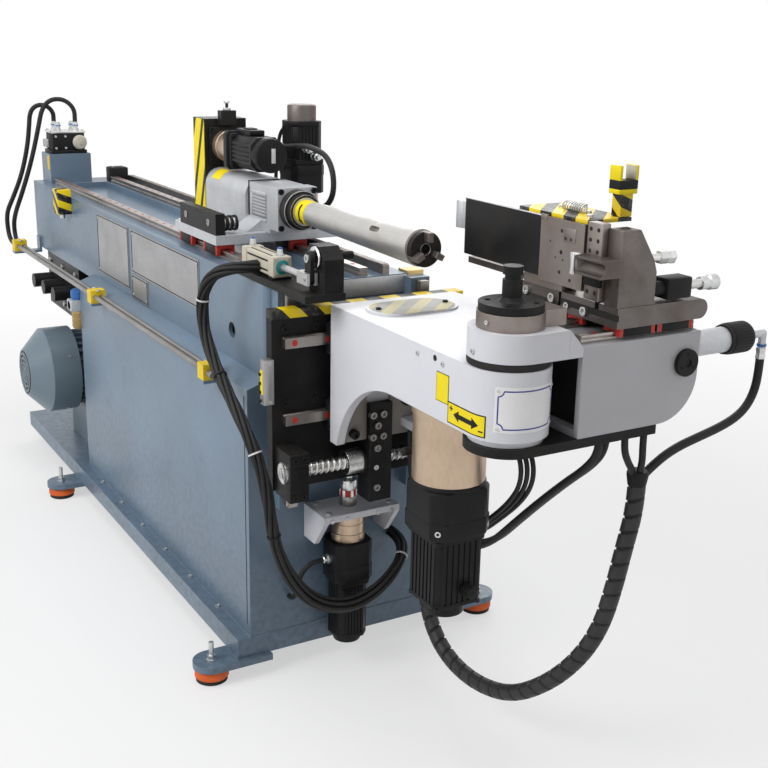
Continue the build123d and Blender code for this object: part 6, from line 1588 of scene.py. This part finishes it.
# Arm: clamp rails, pivot rings, hose boot and bolts
def armTrim():
    sizes = {"pivot": (280, 904), "pivotFaces": ((761, 1), (593, -1)), "post": 1041, "boot": (721, 216, 655)}
    sizes |= {"lugBlock": ((612, 660), (-4, 24), (996, 1012)), "railYs": (39.6, 312.4)}
    rail = {"half": 10.4, "waist": 8, "levels": (962, 968, 970, 972, 977.4)}
    shape = Shape("armTrim")
    for x in clampRailXs:
        shape.prism(railSection(x, **rail), 1, sizes["railYs"], groundSteel, 0.5)
    ring = [(0, 8), (0, 26), (1.2, 26.6), (2.4, 25.6), (2.4, 8), (0, 8)]
    for x, side in sizes["pivotFaces"]:
        shape.turned((x, *sizes["pivot"]), alongX * side, ring, blackPlastic, 40)
    shape.box(*sizes["lugBlock"], brownSteel, 2)
    boot = [(0, 18), (8, 19.5), (20, 21.4), (26, 21.4), (30, 19)]
    shape.turned(sizes["boot"], alongZ, boot, blackPlastic, 32)
    shape.done("arm", "black_steel")
    plugs = grid(clampRailXs, spaced(42, 310, 50), rail["levels"][-1:], alongZ, 4.6)
    screws("armPlugs", "arm", plugs, **plugCap)
    pivot = Vector((763, *sizes["pivot"]))
    post = Vector((*spindle, sizes["post"]))
    heads = [(*(pivot + out * 17), alongX, 3.4) for out in rays(3, alongY, alongZ, math.radians(90))]
    heads += grid((615, 740), (-20, 60, 140, 205), (770,), -alongZ, 7)
    heads += [(*(post + out * 44), alongZ, 5) for out in rays(4, alongX, alongY, math.radians(45))]
    screws("armBolts", "arm", heads, height=0.8, **blackScrew)
    bright = [(675, -153, 958, -alongY, 5.5), (690, -137, 1011, (0.2, -1, 0), 4)]
    screws("armScrews", "arm", bright, **roundHead)
    cone = [(0, 26), (3, 21), (8, 18.4), (8, 10), (0, 10), (0, 26)]
    trim = Shape("postTrim")
    trim.turned(post, alongZ, cone, blackOxide, 48)
    trim.done("arm", "black_steel")


# Clamp cylinder with its ribbed cap and elbow
def clampDrive():
    sizes = {"x": 690, "z": 915, "tube": 315, "ring": 440, "cap": 448, "stem": 505, "elbow": 555}
    sizes |= {"ribs": 30, "rib": (40, 3, 1.6), "pipe": 885, "collar": 888, "nut": 862}
    x, z, elbow = sizes["x"], sizes["z"], sizes["elbow"]
    turnings = [
        (sizes["tube"], [(0, 30), (6, 30), (8, 26), (125, 26)], castAlloy, 44),
        (sizes["ring"], [(0, 26), (0, 30), (5, 31), (8, 31), (8, 26)], rubber, 44),
        (sizes["cap"], [(0, 30), (2, 32), (50, 32), (55, 29), (57, 14), (57, 0)], blackPlastic, 44),
        (sizes["stem"], [(0, 14), (9, 14), (9, 9), (14, 9), (14, 8), (50, 8)], castAlloy, 24),
    ]
    shape = Shape("clampCylinder")
    for y, profile, finish, sides in turnings:
        shape.turned((x, y, z), alongY, profile, finish, sides)
    ball = bmesh.new()
    bmesh.ops.create_uvsphere(ball, u_segments=20, v_segments=12, radius=8.2)
    ball.transform(Matrix.Translation((x, elbow, z)))
    shape.add(ball, castAlloy)
    shape.rod((x, elbow, sizes["pipe"]), alongZ, 30, 8, castAlloy, 24)
    shape.turned((x, elbow, sizes["collar"]), alongZ, band(8, 10, 0, 5), bluePlastic, 24)
    nut = [(0, 10.4), (7, 10.4), (8, 9.6), (15, 9.6), (16, 10.4), (23, 10.4)]
    shape.turned((x, elbow, sizes["nut"]), alongZ, nut, zinc, 6)
    shape.done("arm", "bright_steel", "clamp_cylinder")
    middle = Vector((x, sizes["cap"] + 26, z))
    knurl = [(middle + facing * 31.4, facing, alongY) for facing in rays(sizes["ribs"], alongX, alongZ)]
    bars("capRibs", "arm", blackPlastic, knurl, sizes["rib"])


# Clamp: tower, rods, switch, plug, runner blocks and hook
def clampTrim():
    sizes = {
        "tower": (715, 754), "bar": ((674, 715), (88, 108), (1030, 1172)),
        "grip": ((672, 717), (86.5, 95), (1056, 1079)), "switch": ((715, 755), (220, 280), (1029, 1069)),
        "wiper": ((590, 754.6), (104.4, 107), (1000, 1012)),
        "hookTop": ((673, 690), (54, 70), (1113.6, 1119)), "hookFront": ((673, 684), (52, 57), (1078, 1119)),
        "x": 735, "upper": 1107, "lower": 1049,
    }
    x, upper, lower = sizes["x"], sizes["upper"], sizes["lower"]
    shape = Shape("clampTower")
    outline = [(102, 1024), (190, 1024), (190, 1085), (182, 1108), (145, 1165), (102, 1165)]
    shape.prism(outline, 0, sizes["tower"], darkSteel, 2)
    shape.box(*sizes["bar"], brownSteel, 1.5)
    shape.box(*sizes["grip"], blackOxide, 1.5)
    shape.rod((x, 145, upper), alongY, 70, 8, brightSteel, 24)
    nuts = [(0, 8), (4, 13), (20, 13), (22, 11), (26, 14), (36, 14), (38, 12)]
    shape.turned((x, 205, upper), alongY, nuts, zinc, 6)
    shape.rod((x, 190, lower), alongY, 34, 14, blackPlastic, 24, 1)
    shape.box(*sizes["switch"], blackPlastic, 4)
    plug = [(0, 9), (36, 9), (38, 13), (54, 13), (56, 11), (60, 15), (78, 15), (81, 12)]
    shape.turned((x, 279, lower), alongY, plug, zinc, 12)
    shape.done("clamp", "machined_steel", "clamp_tower")
    guide = {"width": 44.8, "length": 85.8, "height": 17.8, "gap": 10.8, "depth": 9.6, "seal": 9}
    trim = Shape("clampTrim")
    runners(trim, spots(clampRailXs, (160.5, 254), (968,)), alongY, alongZ, guide)
    trim.box(*sizes["wiper"], rubber)
    trim.box(*sizes["hookTop"], brightSteel, 2)
    trim.box(*sizes["hookFront"], brightSteel, 1.5)
    trim.done("clamp", "machined_steel")
    holes = grid((684, 705), (88,), (1045, 1120, 1140, 1160), -alongY, 4)
    holes += grid((734,), (125,), (1165,), alongZ, 9)
    screws("clampHoles", "clamp", holes, **holeShade)
    heads = [(662, 105, 1001, -alongY, 9), (610, 105, 1001, -alongY, 7), (x, 150, 1024, alongZ, 8)]
    heads += grid((610, 650, 700), (230, 290), (1024,), alongZ, 6)
    screws("clampScrews", "clamp", heads)


# Pressure bolster: runner blocks, wiper and screws
def pressureTrim():
    guide = {"width": 48.8, "length": 80.8, "height": 31.8, "gap": 12.3, "depth": 10.8, "seal": 10}
    sizes = {"blockYs": (155, 245), "bottom": 940, "wiper": ((466.6, 582.4), (104.4, 108), (990, 1003))}
    shape = Shape("pressureTrim")
    runners(shape, spots(pressureRailXs, sizes["blockYs"], (sizes["bottom"],)), alongY, alongZ, guide)
    shape.box(*sizes["wiper"], rubber)
    shape.done("pressure", "machined_steel")
    heads = grid((565, 484), (105,), (1008,), -alongY, 9) + grid((490, 560), (230, 290), (1023,), alongZ, 6)
    screws("pressureScrews", "pressure", heads)


# Long cover plate with its striped strip, post and spring
def slideCover():
    sizes = {
        "plate": ((283, 541), (85, 101), (1048, 1165)),
        "topEdge": ((282.6, 541), (84.8, 101.2), (1163.6, 1165.4)),
        "strip": ((463, 670), (90, 195), (1165, 1172.4)), "post": (655, 182), "stripTop": 1172,
        "pad": ((612, 646), (84, 86), (1126, 1152)), "stop": ((541, 560), (83.5, 90), (1157, 1168)),
        "bracketZs": (1095, 1153), "blockZs": (1173, 1217), "plateZs": (1215, 1224), "spacerZs": (1224, 1240),
        "forkZs": (1240, 1267), "linerZs": (1241, 1266), "knobs": ((520, 150), (600, 150), (640, 120)),
        "spring": (545, 138, 1182),
        "holes": (
            (605, 85, 1144, 3.4), (606, 85, 1104, 4), (604, 85, 1066, 3.4),
            (618, 84, 1132, 3), (634, 84, 1132, 3), (636, 85, 1056, 3.4),
            (590, 85, 1092, 2), (612, 85, 1090, 2), (572, 85, 1120, 2)),
    }
    x, y = sizes["post"]
    wide, across = (x - 15, x + 15), (y - 22, y + 22)
    shape = Shape("slideCover")
    shape.box(*sizes["plate"], blackOxide, 1.2)
    shape.box(*sizes["topEdge"], castAlloy, 0.5)
    bracket = [(233, 95), (245, 95), (249, 99), (267, 99), (271, 93), (283, 93), (283, 123), (233, 123)]
    shape.prism(bracket, 2, sizes["bracketZs"], castAlloy, 2)
    shape.box(*sizes["strip"], hazardTop, 1)
    shape.box((x - 13, x + 13), (y - 14, y + 14), sizes["blockZs"], hazardBox, 1.5)
    shape.box(wide, across, sizes["plateZs"], labelYellow, 1.5)
    shape.box(wide, across, sizes["spacerZs"], blackPlastic, 1)
    for side in (-1, 1):
        inner, outer = y + 16 * side, y + 22 * side
        shape.box(wide, (inner, outer), sizes["forkZs"], labelYellow, 1)
        shape.box((x - 14, x + 14), (inner - 0.6, inner + 0.6), sizes["linerZs"], beigeAlloy, 0.4)
    for spot in sizes["knobs"]:
        shape.turned((*spot, sizes["stripTop"]), alongZ, [(0, 6), (5, 6), (6, 4), (6, 0)], zinc, 20)
    shape.done("booster", "clamp_yellow", "slide_cover")
    thread("stripSpring", "booster", zinc, sizes["spring"], alongX, 60, 7, 8, 1.6)
    trim = Shape("pressurePlateTrim")
    trim.box(*sizes["pad"], brownSteel, 1)
    trim.box(*sizes["stop"], brownSteel, 1)
    trim.done("booster", "machined_steel")
    holes = [(*spot, -alongY, radius) for *spot, radius in sizes["holes"]]
    screws("plateHoles", "booster", holes, **holeShade | {"sides": 18})


pieces = (
    feet, frameTrim, sidePlates, switches, valveStack, airFilter, pumpTrim, tankTrim, accessPanel,
    airDrive, liftDrive, feedRunners, carriageDrives, carriageTrim, colletTrim, slideTrim, shiftDrive,
    headTrim, headRunners, bendDrive, armFrame, armTrim, clampDrive, clampTrim, pressureTrim, slideCover,
)
for build in pieces:
    build()
    print(build.__name__, "done")


# Floor and background: white where the camera, a reflection or glass sees them
seenRays = ("Is Camera Ray", "Is Glossy Ray", "Is Transmission Ray")


# Near the machine the floor is only partly white, so that it keeps the shadow
def layFloor():
    sizes = {"side": 30.0, "drop": 0.5 * mm, "fade": (1.6, 3.4), "near": 0.55}
    solid = bmesh.new()
    bmesh.ops.create_grid(solid, x_segments=2, y_segments=2, size=sizes["side"] / 2)
    data = bpy.data.meshes.new("floor")
    solid.to_mesh(data)
    solid.free()
    floor = bpy.data.objects.new("floor", data)
    floor.location.z = -sizes["drop"]
    bpy.context.collection.objects.link(floor)
    made = Finish("floorPaint")
    tone = made.mix(made.noise(1.5, 3.0), (0.88, 0.88, 0.88), (0.85, 0.85, 0.85))
    made.feed({"Base Color": tone, "Roughness": 0.6})
    camera, glossy, through = [made.node("ShaderNodeLightPath", {}, {}, kind) for kind in seenRays]
    away = made.node("ShaderNodeVectorMath", {"operation": "LENGTH"}, {0: made.place}, "Value")
    share = made.ramp(away, *sizes["fade"]) * (1 - sizes["near"]) + sizes["near"]
    white = made.node("ShaderNodeEmission", {}, {"Strength": 1.0})
    plain = Wire(made, made.shader.outputs[0])
    mixed = made.node("ShaderNodeMixShader", {}, {0: (camera + glossy + through) * share, 1: plain, 2: white})
    plugIn(made.tree, made.tree.nodes["Material Output"], {"Surface": mixed})
    data.materials.append(made.material)


def softbox(name, place, target, size, power):
    data = bpy.data.lights.new(name, "AREA")
    data.shape = "RECTANGLE"
    data.size, data.size_y = size
    data.energy = power
    lamp = bpy.data.objects.new(name, data)
    aim = (Vector(target) - Vector(place)).to_track_quat("-Z", "Y").to_matrix().to_4x4()
    lamp.matrix_world = Matrix.Translation(place) @ aim
    bpy.context.collection.objects.link(lamp)


# A white background where it is seen, and a softer light from it on the machine
def lightWorld():
    sizes = {"seen": 1.0, "ambient": 0.28}
    world = bpy.data.worlds.new("studio")
    world.use_nodes = True
    tree = world.node_tree
    backdrop = tree.nodes["Background"]
    plugIn(tree, backdrop, {"Color": (1, 1, 1, 1), "Strength": sizes["seen"]})
    ambient = flow(tree, "ShaderNodeBackground", {"Color": (1, 1, 1, 1), "Strength": sizes["ambient"]})
    outputs = tree.nodes.new("ShaderNodeLightPath").outputs
    camera, glossy, through = [outputs[kind] for kind in seenRays]
    seen = flow(tree, "ShaderNodeMath", {0: camera, 1: glossy}, operation="MAXIMUM")
    seen = flow(tree, "ShaderNodeMath", {0: seen, 1: through}, operation="MAXIMUM")
    mixed = flow(tree, "ShaderNodeMixShader", {0: seen, 1: ambient, 2: backdrop.outputs[0]})
    plugIn(tree, tree.nodes["World Output"], {"Surface": mixed})
    bpy.context.scene.world = world


# Lamps: place, target and size in metres, and power in watts
lamps = {
    "keyLight": ((0.6, -4.4, 3.6), (0.2, 0.0, 0.8), (3.5, 2.5), 145),
    "topLight": ((0.7, -0.4, 4.2), (-0.2, 0.0, 0.8), (3.0, 2.4), 62),
    "fillLight": ((4.6, 1.6, 2.6), (0.4, 0.0, 0.8), (3.0, 3.0), 16),
    "rearLight": ((-3.4, 2.6, 3.0), (-0.2, 0.0, 0.8), (3.0, 2.0), 50),
}
layFloor()
for lampName, settings in lamps.items():
    softbox(lampName, *settings)
lightWorld()
bpy.context.scene.view_settings.view_transform = "Standard"
print("stage set")
